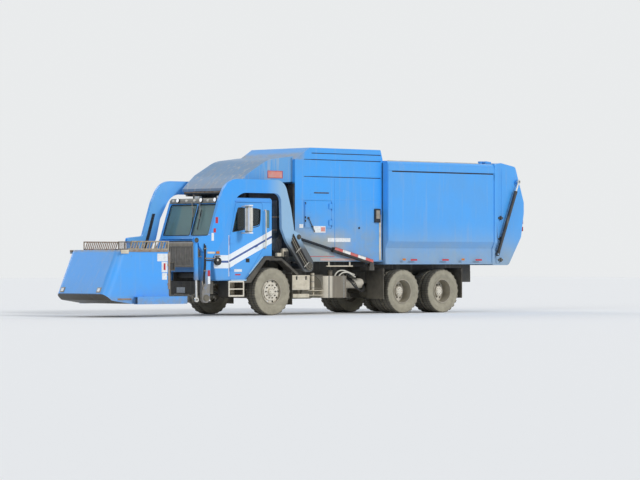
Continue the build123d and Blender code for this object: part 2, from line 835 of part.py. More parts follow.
# Intake stack and air cleaner behind the cab, on a rack above the left rail.
stack_x = front_axle_x - 290
stack_y = 900
with BuildPart() as stack:
    post(stack_x, stack_y, 95, 1900, 2650)
    post(stack_x, stack_y, 60, 1750, 1905)
    rod((stack_x, stack_y - 400, 1620), (stack_x, stack_y + 120, 1620), 165)
    block((stack_x - 90, stack_x + 90), (rail_half_gap - 70, stack_y - 200), (1400, 1500))
    block((stack_x - 60, stack_x + 60), (rail_half_gap - 70, rail_half_gap - 10), (rail_top_z + gap, 1480))
keep("intake_stack", stack.part)

# Boxes and tanks on the rails' outside.
tank_inner_y = rail_half_gap + 45
with BuildPart() as side_tanks:
    battery = (front_axle_x - 1210, front_axle_x - 670)
    block(battery, (tank_inner_y, 1150), (580, 910))
    for x in (battery[0] + 60, battery[0] + 300):
        block((x, x + 60), (rail_half_gap + gap, tank_inner_y + 5), (790, 890))
    block((battery[0] + 20, battery[1] - 20), (800, 1150), (430, 470))
    for x in (battery[0] + 40, battery[1] - 70):
        block((x, x + 30), (800, 840), (460, 590))
    with BuildSketch(Plane.XY.offset(390)):
        with Locations((front_axle_x - 2095, 800)):
            RectangleRounded(810, 620, 160)
    extrude(amount=510)
    block((front_axle_x - 2300, front_axle_x - 1900), (rail_half_gap + gap, 600), (760, 860))
    post(front_axle_x - 2120, 850, 60, 895, 1010)
    rod((front_axle_x - 2900, -760, 640), (front_axle_x - 1450, -760, 640), 300)
    for x in (front_axle_x - 2600, front_axle_x - 1750):
        block((x - 40, x + 40), (-500, -rail_half_gap - gap), (700, 900))
    block((battery[0], battery[1]), (-1150, -tank_inner_y), (520, 910))
    for x in (battery[0] + 60, battery[0] + 300):
        block((x, x + 60), (-tank_inner_y - 5, -rail_half_gap - gap), (790, 890))
keep("side_tanks", side_tanks.part)

# Mud flaps ahead of and behind the driven wheels, on brackets from the rails.
with BuildPart() as mud_flaps:
    for x in (rear_axle_1_x + 640, rear_axle_2_x - 660):
        for sign in (1, -1):
            block((x - 12, x + 12), (sign * 620, sign * 1200), (350, 1080))
            block((x - 30, x + 30), (sign * (rail_half_gap + gap), sign * 1200), (1000, 1060))
keep("mud_flaps", mud_flaps.part)

# Canopy over the cab: a curved roof sheet between two side sheets, open below.
guard_half_width = 960
guard_wall = 35
guard_front_x = front_axle_x + 900
guard_outer = [
    (hopper_front_x + gap, 3100, 0),
    (front_axle_x - 250, 3060, 0),
    (guard_front_x, 2870, 0),
    (guard_front_x, 2930, 0),
    (front_axle_x + 540, 3250, 500),
    (front_axle_x - 100, 3600, 900),
    (hopper_front_x + gap, 3690, 0),
]
with BuildPart() as guard:
    slab(guard_outer, guard_half_width, -guard_half_width)
    slab(
        [
            (hopper_front_x - 10, 3000, 0),
            (guard_front_x - 60, 2800, 0),
            (guard_front_x - 60, 2915, 0),
            (front_axle_x + 520, 3210, 500),
            (front_axle_x - 110, 3560, 900),
            (hopper_front_x - 10, 3650, 0),
        ],
        guard_half_width - guard_wall,
        -guard_half_width + guard_wall,
        mode=Mode.SUBTRACT,
    )
keep("cab_guard", guard.part)

# Hopper: tall open-topped box behind the cab, with raised sides round its mouth.
groove_depth = 12
hopper_side = [
    (hopper_front_x, hopper_bottom_z + 120, 0),
    (hopper_front_x, hopper_front_z, 0),
    (hopper_front_x - 470, hopper_top_z, 0),
    (hopper_rear_x + 70, hopper_top_z, 0),
    (hopper_rear_x, body_top_z + 20, 0),
    (hopper_rear_x, hopper_bottom_z, 0),
    (hopper_front_x - 200, hopper_bottom_z, 0),
]
hopper_cavity = [
    (hopper_front_x - body_wall, hopper_bottom_z + 150, 0),
    (hopper_front_x - body_wall, hopper_front_z - 20, 0),
    (hopper_front_x - body_wall - 560, hopper_top_z + 60, 0),
    (hopper_rear_x - 1, hopper_top_z + 60, 0),
    (hopper_rear_x - 1, hopper_bottom_z + body_wall, 0),
    (hopper_front_x - 220, hopper_bottom_z + body_wall, 0),
]
cavity_half = hopper_half_width - body_wall
side_hinge_zs = (side_door_bottom_z + 70, side_door_top_z - 190)
with BuildPart() as hopper:
    slab(hopper_side, hopper_half_width, -hopper_half_width)
    slab(hopper_cavity, cavity_half, -cavity_half, mode=Mode.SUBTRACT)
    for z in (3780, 3630, 3230):
        for sign in (1, -1):
            block(
                (hopper_rear_x + 60, hopper_front_x - 520),
                (sign * (hopper_half_width - groove_depth), sign * (hopper_half_width + 1)),
                (z - 12, z + 12),
                mode=Mode.SUBTRACT,
            )
    block(
        (side_door_rear_x, side_door_front_x),
        (cavity_half - 1, hopper_half_width + 1),
        (side_door_bottom_z, side_door_top_z),
        mode=Mode.SUBTRACT,
    )
    for z in side_hinge_zs:
        hinge_pin(side_door_rear_x - 10, hopper_half_width + 16, hopper_half_width, z, z + hinge_length)
    for sign in (1, -1):
        ledge = sorted((sign * (cavity_half - 40), sign * (cavity_half + 1)))
        block((hopper_rear_x, hopper_front_x - 420), ledge, (top_door_z - 35, top_door_z - gap))
keep("hopper", hopper.part)

# Top door: a ribbed panel on ledges inside the raised sides; it slides back over the body's roof.
top_door_front_x = hopper_front_x - 430
with BuildPart() as top_door:
    block(
        (hopper_rear_x + 20, top_door_front_x),
        (-cavity_half + 8, cavity_half - 8),
        (top_door_z, top_door_z + top_door_thickness),
    )
    rib_span = top_door_front_x - hopper_rear_x - 200
    with Locations(((hopper_rear_x + top_door_front_x) / 2, 0, top_door_z + top_door_thickness + 15)):
        with GridLocations(rib_span / 4, 1, 5, 1):
            Box(60, 2 * cavity_half - 80, 32)
keep("top_door", top_door.part)

# Side door of the hopper, with its lock rod.
with BuildPart() as side_door:
    block(
        (side_door_rear_x + clearance, side_door_front_x - clearance),
        (hopper_half_width - body_wall + 5, hopper_half_width),
        (side_door_bottom_z + clearance, side_door_top_z - clearance),
    )
    fillet(side_door.edges().filter_by(Axis.Y), 12)
    post(side_door_front_x - 40, hopper_half_width + 14, 10, side_door_bottom_z + 30, side_door_top_z - 30)
    for z in (side_door_bottom_z + 60, side_door_top_z - 90):
        block(
            (side_door_front_x - 55, side_door_front_x - 25),
            (hopper_half_width - 5, hopper_half_width + 22),
            (z, z + 30),
        )
    for z in side_hinge_zs:
        hinge_barrel(
            side_door_rear_x - 10, hopper_half_width + 16, hopper_half_width, z, z + hinge_length,
            side_door_rear_x + 90,
        )
keep("hopper_side_door", side_door.part)

# Main body: a box with tucked lower sides, open to the hopper in front and closed by the tailgate.
tuck = 80
tuck_high_z = 1720
tuck_low_z = 1560


def body_section(half_width, top_z, bottom_z, inset=0):
    outline(
        [
            (half_width, top_z, 70 - inset),
            (half_width, tuck_high_z, 0),
            (half_width - tuck, tuck_low_z, 0),
            (half_width - tuck, bottom_z, 0),
            (-half_width + tuck, bottom_z, 0),
            (-half_width + tuck, tuck_low_z, 0),
            (-half_width, tuck_high_z, 0),
            (-half_width, top_z, 70 - inset),
        ]
    )


rear_ring = 80
ear_low_y = tailgate_half_width + 10
with BuildPart() as body:
    with BuildSketch(Plane.YZ.offset(body_rear_x)):
        body_section(body_half_width, body_top_z, body_bottom_z)
    extrude(amount=hopper_rear_x - gap - body_rear_x)
    with BuildSketch(Plane.YZ.offset(body_rear_x)):
        body_section(body_half_width + 20, body_top_z + 20, body_bottom_z)
    extrude(amount=rear_ring)
    with BuildSketch(Plane.YZ.offset(body_rear_x - 1)):
        body_section(
            body_half_width - body_wall, body_top_z - body_wall, body_bottom_z + body_wall, body_wall / 2
        )
    extrude(amount=hopper_rear_x - body_wall - body_rear_x, mode=Mode.SUBTRACT)
    block(
        (hopper_rear_x - body_wall - 10, hopper_rear_x + 1),
        (-cavity_half, cavity_half),
        (hopper_bottom_z + body_wall, body_top_z - body_wall),
        mode=Mode.SUBTRACT,
    )
    for sign in (1, -1):
        block(
            (body_rear_x + rear_ring + 20, hopper_rear_x - 130),
            (sign * (body_half_width - groove_depth), sign * (body_half_width + 1)),
            (3385, 3415),
            mode=Mode.SUBTRACT,
        )
        ear = sorted((sign * ear_low_y, sign * (ear_low_y + ear_wall)))
        slab(
            [
                (body_rear_x + 10, tail_base_z - 110, 0),
                (body_rear_x + 10, tail_base_z + 110, 0),
                (tail_base_x - 45, tail_base_z + 45, 40),
                (tail_base_x - 45, tail_base_z - 45, 40),
            ],
            ear[1],
            ear[0],
        )
        pin_ends = sorted((sign * (ear_low_y + 1), sign * (tail_cylinder_y + eye_width / 2)))
        cross_bar(tail_base_x, tail_base_z, pin_r, pin_ends[0], pin_ends[1])
        hinge = sorted((sign * tail_hinge_y, sign * (tail_hinge_y + 90)))
        block((body_rear_x, body_rear_x + 120), hinge, (body_top_z + 10, tail_hinge_z + 25))
        cross_bar(body_rear_x + 30, tail_hinge_z, 28, hinge[0], hinge[1])
        pin_span = sorted((sign * (tail_hinge_y + 80), sign * (tail_hinge_y + 190)))
        cross_bar(body_rear_x + 30, tail_hinge_z, 14, pin_span[0], pin_span[1])
keep("main_body", body.part)

# Tailgate: a deep bowl, hinged at the top.
tail_front_x = body_rear_x - clearance
tail_side = [
    (tail_front_x, body_bottom_z - 20, 0),
    (tail_front_x, body_top_z - 10, 0),
    (tail_x + 820, body_top_z + 40, 60),
    (tail_x + 310, 3600, 90),
    (tail_x, 2720, 150),
    (tail_x, 2450, 250),
    (tail_x + 100, 1850, 250),
    (tail_x + 550, body_bottom_z - 20, 120),
]
tail_wall = 55
with BuildPart() as tailgate:
    slab(tail_side, tailgate_half_width, -tailgate_half_width)
    with BuildSketch(side_plane(tailgate_half_width - tail_wall)):
        outline(
            [
                (tail_front_x + 1, body_bottom_z + 50, 0),
                (tail_front_x + 1, body_top_z - 80, 0),
                (tail_x + 820, body_top_z - 30, 60),
                (tail_x + 360, 3530, 80),
                (tail_x + tail_wall, 2700, 130),
                (tail_x + tail_wall, 2460, 220),
                (tail_x + 155, 1870, 220),
                (tail_x + 580, body_bottom_z + 50, 100),
            ]
        )
    extrude(amount=2 * (tailgate_half_width - tail_wall), mode=Mode.SUBTRACT)
    for sign in (1, -1):
        hinge = sorted((sign * (tail_hinge_y + 95), sign * (tail_hinge_y + 185)))
        slab(
            [
                (body_rear_x + 30 - 5, tail_hinge_z + 28, 0),
                (body_rear_x - 160, tail_hinge_z + 10, 0),
                (body_rear_x - 160, body_top_z - 40, 0),
                (tail_front_x, body_top_z - 40, 0),
                (tail_front_x, body_top_z + 26, 0),
                (body_rear_x + 30 - 5, body_top_z + 27, 0),
            ],
            hinge[1],
            hinge[0],
        )
        cross_bar(body_rear_x + 30, tail_hinge_z, 28, hinge[0], hinge[1])
        cross_bar(body_rear_x + 30, tail_hinge_z, 14 + gap, hinge[0] - 1, hinge[1] + 1, mode=Mode.SUBTRACT)
        boss = sorted((sign * (tailgate_half_width - 5), sign * (tail_cylinder_y - eye_width / 2 - 5)))
        cross_bar(tail_eye_x, tail_eye_z, 60, boss[0], boss[1])
keep("tailgate", tailgate.part)

# Tail lamps on the tailgate's back.
with BuildPart() as tail_lamps:
    for sign in (1, -1):
        for z in (2000, 2180):
            pair = sorted((sign * 880, sign * 1060))
            block((tail_x + 5, tail_x + 82), pair, (z, z + 110))
    add(tailgate.part, mode=Mode.SUBTRACT)
keep("tail_lamps", tail_lamps.part)


# Cylinders. Both sides of a pair move together, so they share a body.


def barrel_pair(base, eye, y, length, radius, rod_radius):
    """Tubes from the base pin towards the eye; base and eye are (x, z)."""
    run = hypot(eye[0] - base[0], eye[1] - base[1])
    along = ((eye[0] - base[0]) / run, (eye[1] - base[1]) / run)
    start = 75
    for sign in (1, -1):
        rod(
            (base[0] + start * along[0], sign * y, base[1] + start * along[1]),
            (base[0] + length * along[0], sign * y, base[1] + length * along[1]),
            radius,
        )
        rod(
            (base[0] + (length - 70) * along[0], sign * y, base[1] + (length - 70) * along[1]),
            (base[0] + length * along[0], sign * y, base[1] + length * along[1]),
            radius + 3,
        )
        eye_low = sign * y - eye_width / 2
        cross_bar(base[0], base[1], 46, eye_low, eye_low + eye_width)
        with BuildSketch(side_plane(eye_low + eye_width)) as neck:
            with Locations((base[0] + 45 * along[0], base[1] + 45 * along[1])):
                Rectangle(90, 80, rotation=degrees(atan2(along[1], along[0])))
        extrude(neck.sketch, amount=eye_width)
        rod(
            (base[0] + (start + 25) * along[0], sign * y, base[1] + (start + 25) * along[1]),
            (base[0] + (length + 1) * along[0], sign * y, base[1] + (length + 1) * along[1]),
            rod_radius + gap,
            mode=Mode.SUBTRACT,
        )
        cross_bar(base[0], base[1], pin_r + gap, eye_low - 1, eye_low + eye_width + 1, mode=Mode.SUBTRACT)


def rod_pair(base, eye, y, length, radius):
    """Bars from the eye back into the tubes; base and eye are (x, z)."""
    run = hypot(eye[0] - base[0], eye[1] - base[1])
    along = ((eye[0] - base[0]) / run, (eye[1] - base[1]) / run)
    for sign in (1, -1):
        rod(
            (eye[0] - length * along[0], sign * y, eye[1] - length * along[1]),
            (eye[0] - 30 * along[0], sign * y, eye[1] - 30 * along[1]),
            radius,
        )
        eye_low = sign * y - eye_width / 2
        cross_bar(eye[0], eye[1], 52, eye_low, eye_low + eye_width)
        cross_bar(eye[0], eye[1], pin_r, eye_low - 1, eye_low + eye_width + 1, mode=Mode.SUBTRACT)


for name, base, eye, y, barrel_length, rod_length, barrel_radius, rod_radius in (
    (
        "lift", (lift_base_x, lift_base_z), (lift_eye_x, lift_eye_z), lift_cylinder_y,
        lift_barrel_length, lift_rod_length, lift_barrel_r, lift_rod_r,
    ),
    (
        "fork", (fork_top_x, fork_top_z), (fork_eye_x, fork_eye_z), fork_cylinder_y,
        fork_barrel_length, fork_rod_length, fork_barrel_r, fork_rod_r,
    ),
    (
        "tailgate", (tail_base_x, tail_base_z), (tail_eye_x, tail_eye_z), tail_cylinder_y,
        tail_barrel_length, tail_rod_length, tail_barrel_r, tail_rod_r,
    ),
):
    with BuildPart() as barrels:
        barrel_pair(base, eye, y, barrel_length, barrel_radius, rod_radius)
    keep(f"{name}_cylinder_barrels", barrels.part)
    with BuildPart() as rods:
        rod_pair(base, eye, y, rod_length, rod_radius)
    keep(f"{name}_cylinder_rods", rods.part)

# Lift arms: two box arms shaped like an upturned U, on one torque tube across the frame.
arm_high_y = arm_inner_y + arm_width
lug_x = fork_top_x
arm_shape = [
    (fork_pivot_x - 110, fork_pivot_z - 110, 100),
    (fork_pivot_x + 110, fork_pivot_z - 110, 100),
    (fork_pivot_x + 110, fork_pivot_z + 150, 60),
    (front_axle_x + 2080, 1440, 80),
    (lug_x - 70, fork_top_z - 120, 60),
    (lug_x - 60, fork_top_z - 58, 5),
    (lug_x + 60, fork_top_z - 58, 45),
    (lug_x + 60, fork_top_z + 65, 50),
    (front_axle_x + 1900, 1830, 60),
    (front_axle_x + 1640, 2620, 200),
    (front_axle_x + 1380, 3120, 520),
    (front_axle_x - 340, 3120, 330),
    (front_axle_x - 540, 2480, 300),
    (front_axle_x - 640, 1950, 60),
    (lift_eye_x - 70, lift_eye_z + 60, 55),
    (lift_eye_x - 70, lift_eye_z - 70, 55),
    (arm_pivot_x - 130, arm_pivot_z + 120, 90),
    (arm_pivot_x - 130, arm_pivot_z - 130, 110),
    (arm_pivot_x + 140, arm_pivot_z - 130, 110),
    (front_axle_x - 400, 1700, 200),
    (front_axle_x - 255, 2000, 150),
    (front_axle_x - 230, 2810, 200),
    (front_axle_x + 1060, 2810, 420),
    (front_axle_x + 1390, 2230, 250),
    (front_axle_x + 1510, 1760, 200),
    (front_axle_x + 1880, 1250, 250),
    (fork_pivot_x - 110, fork_pivot_z + 150, 60),
]
with BuildPart() as arms:
    for sign in (1, -1):
        high = arm_high_y if sign > 0 else -arm_inner_y
        slab(arm_shape, high, high - arm_width)
        slot_half = eye_width / 2 + 3
        slot = sorted((sign * (fork_cylinder_y - slot_half), sign * (fork_cylinder_y + slot_half)))
        block((lug_x - 120, lug_x + 80), slot, (fork_top_z - 160, fork_top_z + 90), mode=Mode.SUBTRACT)
        pin_ends = sorted((sign * arm_inner_y, sign * arm_high_y))
        cross_bar(fork_top_x, fork_top_z, pin_r, pin_ends[0], pin_ends[1])
        cross_bar(
            fork_pivot_x, fork_pivot_z, fork_journal_r + gap,
            pin_ends[0] - 1, pin_ends[1] + 1, mode=Mode.SUBTRACT,
        )
    cross_bar(arm_pivot_x, arm_pivot_z, arm_tube_r, -arm_inner_y - 5, arm_inner_y + 5)
keep("lift_arms", arms.part)

# Forks: a shaft between the arms' ends, two fork bars in the can's sleeves, and the cranks.
fork_bar_z = sleeve_bottom_z + sleeve_height / 2
fork_bar_top = sleeve_bottom_z + sleeve_height - sleeve_wall - gap
crank_high_y = fork_cylinder_y - fork_barrel_r - clearance
with BuildPart() as forks:
    cross_bar(fork_pivot_x, fork_pivot_z, fork_shaft_r, -arm_inner_y + clearance, arm_inner_y - clearance)
    cross_bar(fork_pivot_x, fork_pivot_z, fork_journal_r, -arm_high_y - 8, arm_high_y + 8)
    for sign in (1, -1):
        bar_high = sign * sleeve_y + sleeve_width / 2 - sleeve_wall - 4
        bar_low = sign * sleeve_y - sleeve_width / 2 + sleeve_wall + 4
        slab(
            [
                (fork_pivot_x - 60, fork_pivot_z - 60, 40),
                (fork_pivot_x + 200, fork_bar_z - 62, 20),
                (sleeve_front_x - 60, fork_bar_z - 50, 20),
                (sleeve_front_x - 60, fork_bar_top, 20),
                (fork_pivot_x + 220, fork_bar_top, 60),
                (fork_pivot_x + 60, fork_pivot_z + 110, 60),
                (fork_pivot_x - 60, fork_pivot_z + 100, 40),
            ],
            bar_high,
            bar_low,
        )
        crank = sorted((sign * (crank_high_y - 45), sign * crank_high_y))
        slab(
            [
                (fork_pivot_x - 80, fork_pivot_z - 80, 60),
                (fork_eye_x + 50, fork_eye_z - 60, 45),
                (fork_eye_x + 50, fork_eye_z + 50, 45),
                (fork_pivot_x - 60, fork_pivot_z + 90, 60),
            ],
            crank[1],
            crank[0],
        )
keep("forks", forks.part)

# Can: an open-topped steel hopper with a raked nose and sleeves for the forks.
can_side = [
    (can_rear_x, can_floor_z, 0),
    (nose_x - 1080, can_floor_z, 0),
    (nose_x - 880, can_belly_z, 30),
    (nose_x - 740, can_belly_z, 60),
    (nose_x - 190, 380, 60),
    (nose_x, 530, 0),
    (can_front_top_x, can_top_z, 0),
    (can_rear_x, can_top_z, 0),
]
can_inside = [
    (can_rear_x + can_wall, can_floor_z + can_wall, 0),
    (nose_x - 1070, can_floor_z + can_wall, 0),
    (nose_x - 870, can_belly_z + can_wall, 30),
    (nose_x - 745, can_belly_z + can_wall, 50),
    (nose_x - 200, 380 + can_wall, 50),
    (nose_x - 30, 530 + can_wall - 10, 0),
    (can_front_top_x - 40, can_top_z + 30, 0),
    (can_rear_x + can_wall, can_top_z + 30, 0),
]
corner_r = 190


def front_corner_edges(part, half_width):
    """The two raked edges where the can's nose meets its sides."""
    edges = part.edges().filter_by(lambda e: abs(abs(e.center().Y) - half_width) < 1)
    edges = edges.filter_by(lambda e: e.center().X > nose_x - 290 and e.length > 600)
    return edges


with BuildPart() as can_core:
    slab(can_inside, can_half_width - can_wall, -can_half_width + can_wall)
    fillet(front_corner_edges(can_core, can_half_width - can_wall), corner_r - can_wall)

with BuildPart() as can:
    slab(can_side, can_half_width, -can_half_width)
    fillet(front_corner_edges(can, can_half_width), corner_r)
    add(can_core.part, mode=Mode.SUBTRACT)
    for sign in (1, -1):
        outer = sorted((sign * (sleeve_y - sleeve_width / 2), sign * (sleeve_y + sleeve_width / 2)))
        inner = (outer[0] + sleeve_wall, outer[1] - sleeve_wall)
        sleeve_top_z = sleeve_bottom_z + sleeve_height
        block((sleeve_rear_x + 120, sleeve_front_x), outer, (sleeve_bottom_z, sleeve_top_z))
        block(
            (sleeve_rear_x + 119, sleeve_front_x + 1),
            inner,
            (sleeve_bottom_z + sleeve_wall, sleeve_top_z - sleeve_wall),
            mode=Mode.SUBTRACT,
        )
        web = sorted((sign * (can_half_width - 60), sign * (sleeve_y - sleeve_width / 2 + 5)))
        block((can_rear_x, nose_x - 1080), web, (sleeve_bottom_z + 60, can_floor_z + 20))
        web = sorted((sign * (can_half_width - 5), sign * (sleeve_y - sleeve_width / 2 + 5)))
        block((nose_x - 1090, sleeve_front_x), web, (sleeve_bottom_z + 60, can_floor_z))
keep("can_shell", can.part)

# Fence of slanted bars above the can's near side and its back.
fence_low_z = can_top_z + gap
fence_high_z = 1700
fence_front_x = nose_x - 660
bar_slant = 70
bar_pitch = 75
with BuildPart() as fence:
    fence_y = can_half_width - 20
    side_y = (fence_y - 12, fence_y + 12)
    block((can_rear_x, fence_front_x), side_y, (fence_low_z, fence_low_z + 30))
    block((can_rear_x, fence_front_x - 100), side_y, (fence_high_z - 25, fence_high_z))
    bars = int((fence_front_x - can_rear_x - bar_slant) // bar_pitch)
    for i in range(bars):
        foot = can_rear_x + 30 + i * bar_pitch
        slab(
            [
                (foot + bar_slant, fence_low_z + 10, 0),
                (foot + bar_slant + 22, fence_low_z + 10, 0),
                (foot + 22, fence_high_z - 5, 0),
                (foot, fence_high_z - 5, 0),
            ],
            fence_y + 6,
            fence_y - 6,
        )
    block((can_rear_x, can_rear_x + 24), (-fence_y, fence_y + 12), (fence_low_z, fence_low_z + 30))
    block((can_rear_x, can_rear_x + 24), (-fence_y, fence_y + 12), (fence_high_z - 25, fence_high_z))
    posts = 9
    for i in range(posts):
        y = -fence_y + 12 + i * 2 * fence_y / (posts - 1)
        block((can_rear_x, can_rear_x + 24), (y - 12, y + 12), (fence_low_z, fence_high_z))
keep("can_fence", fence.part)

# Side arm of the can: a beam that slides out behind the can, a boom that lifts, two fingers.
beam_z = 1130
beam_half = 70
beam_x = can_rear_x - 120
rail_low_x = can_rear_x - 210
with BuildPart() as side_rail:
    block((rail_low_x, can_rear_x - gap), (-880, 880), (beam_z - beam_half - 25, beam_z + beam_half + 25))
    block(
        (beam_x - beam_half - gap, beam_x + beam_half + gap),
        (-881, 881),
        (beam_z - beam_half - gap, beam_z + beam_half + gap),
        mode=Mode.SUBTRACT,
    )
    hanger_x = (rail_low_x + 60, can_rear_x - gap)
    for y in (760, -640):
        block(hanger_x, (y - 50, y + 50), (can_floor_z + 10, beam_z - beam_half - 20))
keep("side_arm_rail", side_rail.part)

boom_pivot_y = -975
with BuildPart() as side_beam:
    block((beam_x - beam_half, beam_x + beam_half), (-925, 860), (beam_z - beam_half, beam_z + beam_half))
    block((beam_x - beam_half, beam_x + beam_half), (-1040, -920), (beam_z - beam_half, beam_z + beam_half))
    block((beam_x - 30, beam_x + 31), (-1041, -930), (beam_z - 71, beam_z + 71), mode=Mode.SUBTRACT)
    rod((beam_x - beam_half, boom_pivot_y, beam_z), (beam_x + beam_half, boom_pivot_y, beam_z), 20)
keep("side_arm_beam", side_beam.part)

boom_head_r = 40
palm_z = 760
palm_x = front_axle_x + 3450
finger_length = 520
with BuildPart() as boom:
    leg_y = (boom_pivot_y - boom_head_r, boom_pivot_y + 30)
    block((beam_x - 24, beam_x + 25), leg_y, (palm_z - 40, beam_z))
    rod((beam_x - 24, boom_pivot_y, beam_z), (beam_x + 25, boom_pivot_y, beam_z), boom_head_r)
    block((beam_x - 24, palm_x + 220), (boom_pivot_y - 40, boom_pivot_y + 30), (palm_z - 45, palm_z + 45))
    rod(
        (beam_x - 30, boom_pivot_y, beam_z),
        (beam_x + 30, boom_pivot_y, beam_z),
        20 + gap,
        mode=Mode.SUBTRACT,
    )
    for x in (palm_x - 160, palm_x + 160):
        post(x, boom_pivot_y - 75, 14, palm_z - 45, palm_z + 45)
        for z in (palm_z - 45, palm_z + 30):
            block((x - 25, x + 25), (boom_pivot_y - 95, boom_pivot_y - 35), (z, z + 15))
keep("side_arm_boom", boom.part)

for name, sign in (("rear", -1), ("front", 1)):
    pivot_x = palm_x + sign * 160
    with BuildPart() as finger:
        with BuildSketch(Plane.XY.offset(palm_z - 26)):
            with BuildLine():
                inner_y = boom_pivot_y - 55
                outer_y = boom_pivot_y - 95
                Polyline(
                    (pivot_x - sign * 22, inner_y),
                    (pivot_x + sign * finger_length, inner_y - 10),
                    (pivot_x + sign * (finger_length + 30), inner_y - 60),
                    (pivot_x + sign * (finger_length - 30), outer_y - 20),
                    (pivot_x - sign * 22, outer_y),
                    close=True,
                )
            make_face()
        extrude(amount=52)
        post(pivot_x, boom_pivot_y - 75, 14 + gap, palm_z - 30, palm_z + 30, mode=Mode.SUBTRACT)
    keep(f"gripper_finger_{name}", finger.part)

# Packer blade: it slides back through the hopper's floor channel.
with BuildPart() as packer:
    blade_low_z = hopper_bottom_z + body_wall + gap
    slab(
        [
            (hopper_front_x - 330, blade_low_z, 0),
            (hopper_front_x - 330, 2000, 120),
            (hopper_front_x - 420, 2120, 60),
            (hopper_front_x - 760, 2120, 0),
            (hopper_front_x - 820, 2000, 0),
            (hopper_front_x - 760, blade_low_z, 0),
        ],
        cavity_half - 10,
        -cavity_half + 10,
    )
    block(
        (hopper_front_x - 700, hopper_front_x - 300),
        (-cavity_half + 60, cavity_half - 60),
        (blade_low_z + 60, 2060),
        mode=Mode.SUBTRACT,
    )
keep("packer_blade", packer.part)

# Cab doors with their glass and mirrors. They swing on the front edge.
mirror_x = front_axle_x + 830
mirror_y = 1350
for side, sign in (("left", 1), ("right", -1)):
    high = cab_half_width if sign > 0 else -cab_half_width + cab_wall
    with BuildPart() as door:
        slab(door_side, high, high - cab_wall)
        slab(door_window, high + 1, high - cab_wall - 1, mode=Mode.SUBTRACT)
        for z in door_hinge_zs:
            wall_y = sign * cab_half_width
            hinge_barrel(hinge_x, sign * hinge_y, wall_y, z, z + hinge_length, door_front_x - 90)
        block(
            (front_axle_x + 300, front_axle_x + 420),
            (sign * (cab_half_width - 2), sign * (cab_half_width + 30)),
            (1560, 1600),
        )
    keep(f"cab_door_{side}", door.part)
    with BuildPart() as pane:
        with BuildSketch(side_plane(high - 18)):
            outline(door_window)
            offset(amount=-gap, mode=Mode.REPLACE)
        extrude(amount=glass_thickness)
    keep(f"door_glass_{side}", pane.part)
    with BuildPart() as mirror:
        with BuildSketch(Plane.XY.offset(1930)):
            with Locations((mirror_x, sign * mirror_y)):
                RectangleRounded(90, 210, 40)
        extrude(amount=540)
        for z in (1890, 2500):
            rod((mirror_x, sign * (cab_half_width + gap), z), (mirror_x, sign * (mirror_y + 20), z), 14)
            post(mirror_x, sign * mirror_y, 14, min(z, 2460), max(z, 1940))
    keep(f"mirror_{side}", mirror.part)

for name, part in pieces.items():
    export_step(part, f"parts/{name}.step")
print(len(pieces), "pieces")
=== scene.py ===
# %% [markdown]
# A garbage truck with a cab-over front, lift arms that pass over the cab, and an open
# can on its forks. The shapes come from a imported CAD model, the frame. This lesson dresses
# that frame: finishes for every piece, then the small things that a truck carries.

# %% Load the frame
import bpy
import bmesh
import math
from mathutils import Matrix, Vector


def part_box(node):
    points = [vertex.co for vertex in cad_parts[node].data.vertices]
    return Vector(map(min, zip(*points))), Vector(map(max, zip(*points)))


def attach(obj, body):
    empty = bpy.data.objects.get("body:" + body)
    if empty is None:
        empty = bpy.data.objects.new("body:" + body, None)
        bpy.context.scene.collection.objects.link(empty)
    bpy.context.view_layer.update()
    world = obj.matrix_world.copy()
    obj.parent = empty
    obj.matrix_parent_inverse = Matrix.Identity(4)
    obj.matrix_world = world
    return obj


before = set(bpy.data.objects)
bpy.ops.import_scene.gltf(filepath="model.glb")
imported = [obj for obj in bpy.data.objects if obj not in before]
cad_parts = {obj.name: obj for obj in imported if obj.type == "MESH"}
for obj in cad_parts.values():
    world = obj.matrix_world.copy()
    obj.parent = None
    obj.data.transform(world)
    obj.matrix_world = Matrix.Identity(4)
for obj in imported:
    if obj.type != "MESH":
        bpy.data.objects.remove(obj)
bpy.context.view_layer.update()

# %% [markdown]
# The truck faces +X, its left side is +Y, and the ground is at Z 0. Everything is in metres.
# Where a piece has to meet a solid, its place is read from the frame's own boxes. The tyres
# stand on the ground, so a wheel's radius is also the height of its hub.

# %% Main places
def middle(name):
    """Centre of a node's box."""
    low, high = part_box(name)
    return (Vector(low) + Vector(high)) / 2


axle_x = middle("front_rim_left").x
rear_axle_xs = (middle("rear_rims_1_left").x, middle("rear_rims_2_left").x)
front_radius = 0.55
rear_radius = 0.525
cab_side_y = 1.10
hopper_side_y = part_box("hopper_side_door")[0][1] + 0.045
body_side_y = 1.22
tailgate_side_y = 1.08
canopy_side_y = 0.96
can_side_y = 0.915
arm_outer_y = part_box("lift_arms")[1][1]
lamp_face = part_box("lamps")[1][0] - axle_x
groove_depth = 0.0118
SIDES = (("left", 1), ("right", -1))
print("front axle", round(axle_x, 3), "arm's outer face", round(arm_outer_y, 3))

# %% [markdown]
# The camera stands where the photographer stood: far off, at eye height, with a long lens,
# ahead of the truck's left side. Its place was fitted to the wheels and the body's corners.

# %% Camera
camera_data = bpy.data.cameras.new("long_lens")
camera_data.lens = 158.606
camera_data.sensor_width = 36.0
camera_data.clip_start = 0.5
camera_data.clip_end = 400
camera = bpy.data.objects.new("camera", camera_data)
bpy.context.scene.collection.objects.link(camera)
camera.location = (axle_x + 42.79, 50.03, 1.24)
camera.rotation_euler = (math.radians(90 + 0.437), 0, math.radians(180 - 42.203))
bpy.context.scene.camera = camera
print("camera", [round(v, 2) for v in camera.location])

# %% [markdown]
# Soft studio light: a wide, low sun on the truck's left, weak ones ahead of it, behind it and
# on its right, and an even world. The left side is the bright side, as in the photograph. The
# backdrop shows to the camera and in reflections only, so it adds no light to the paint.

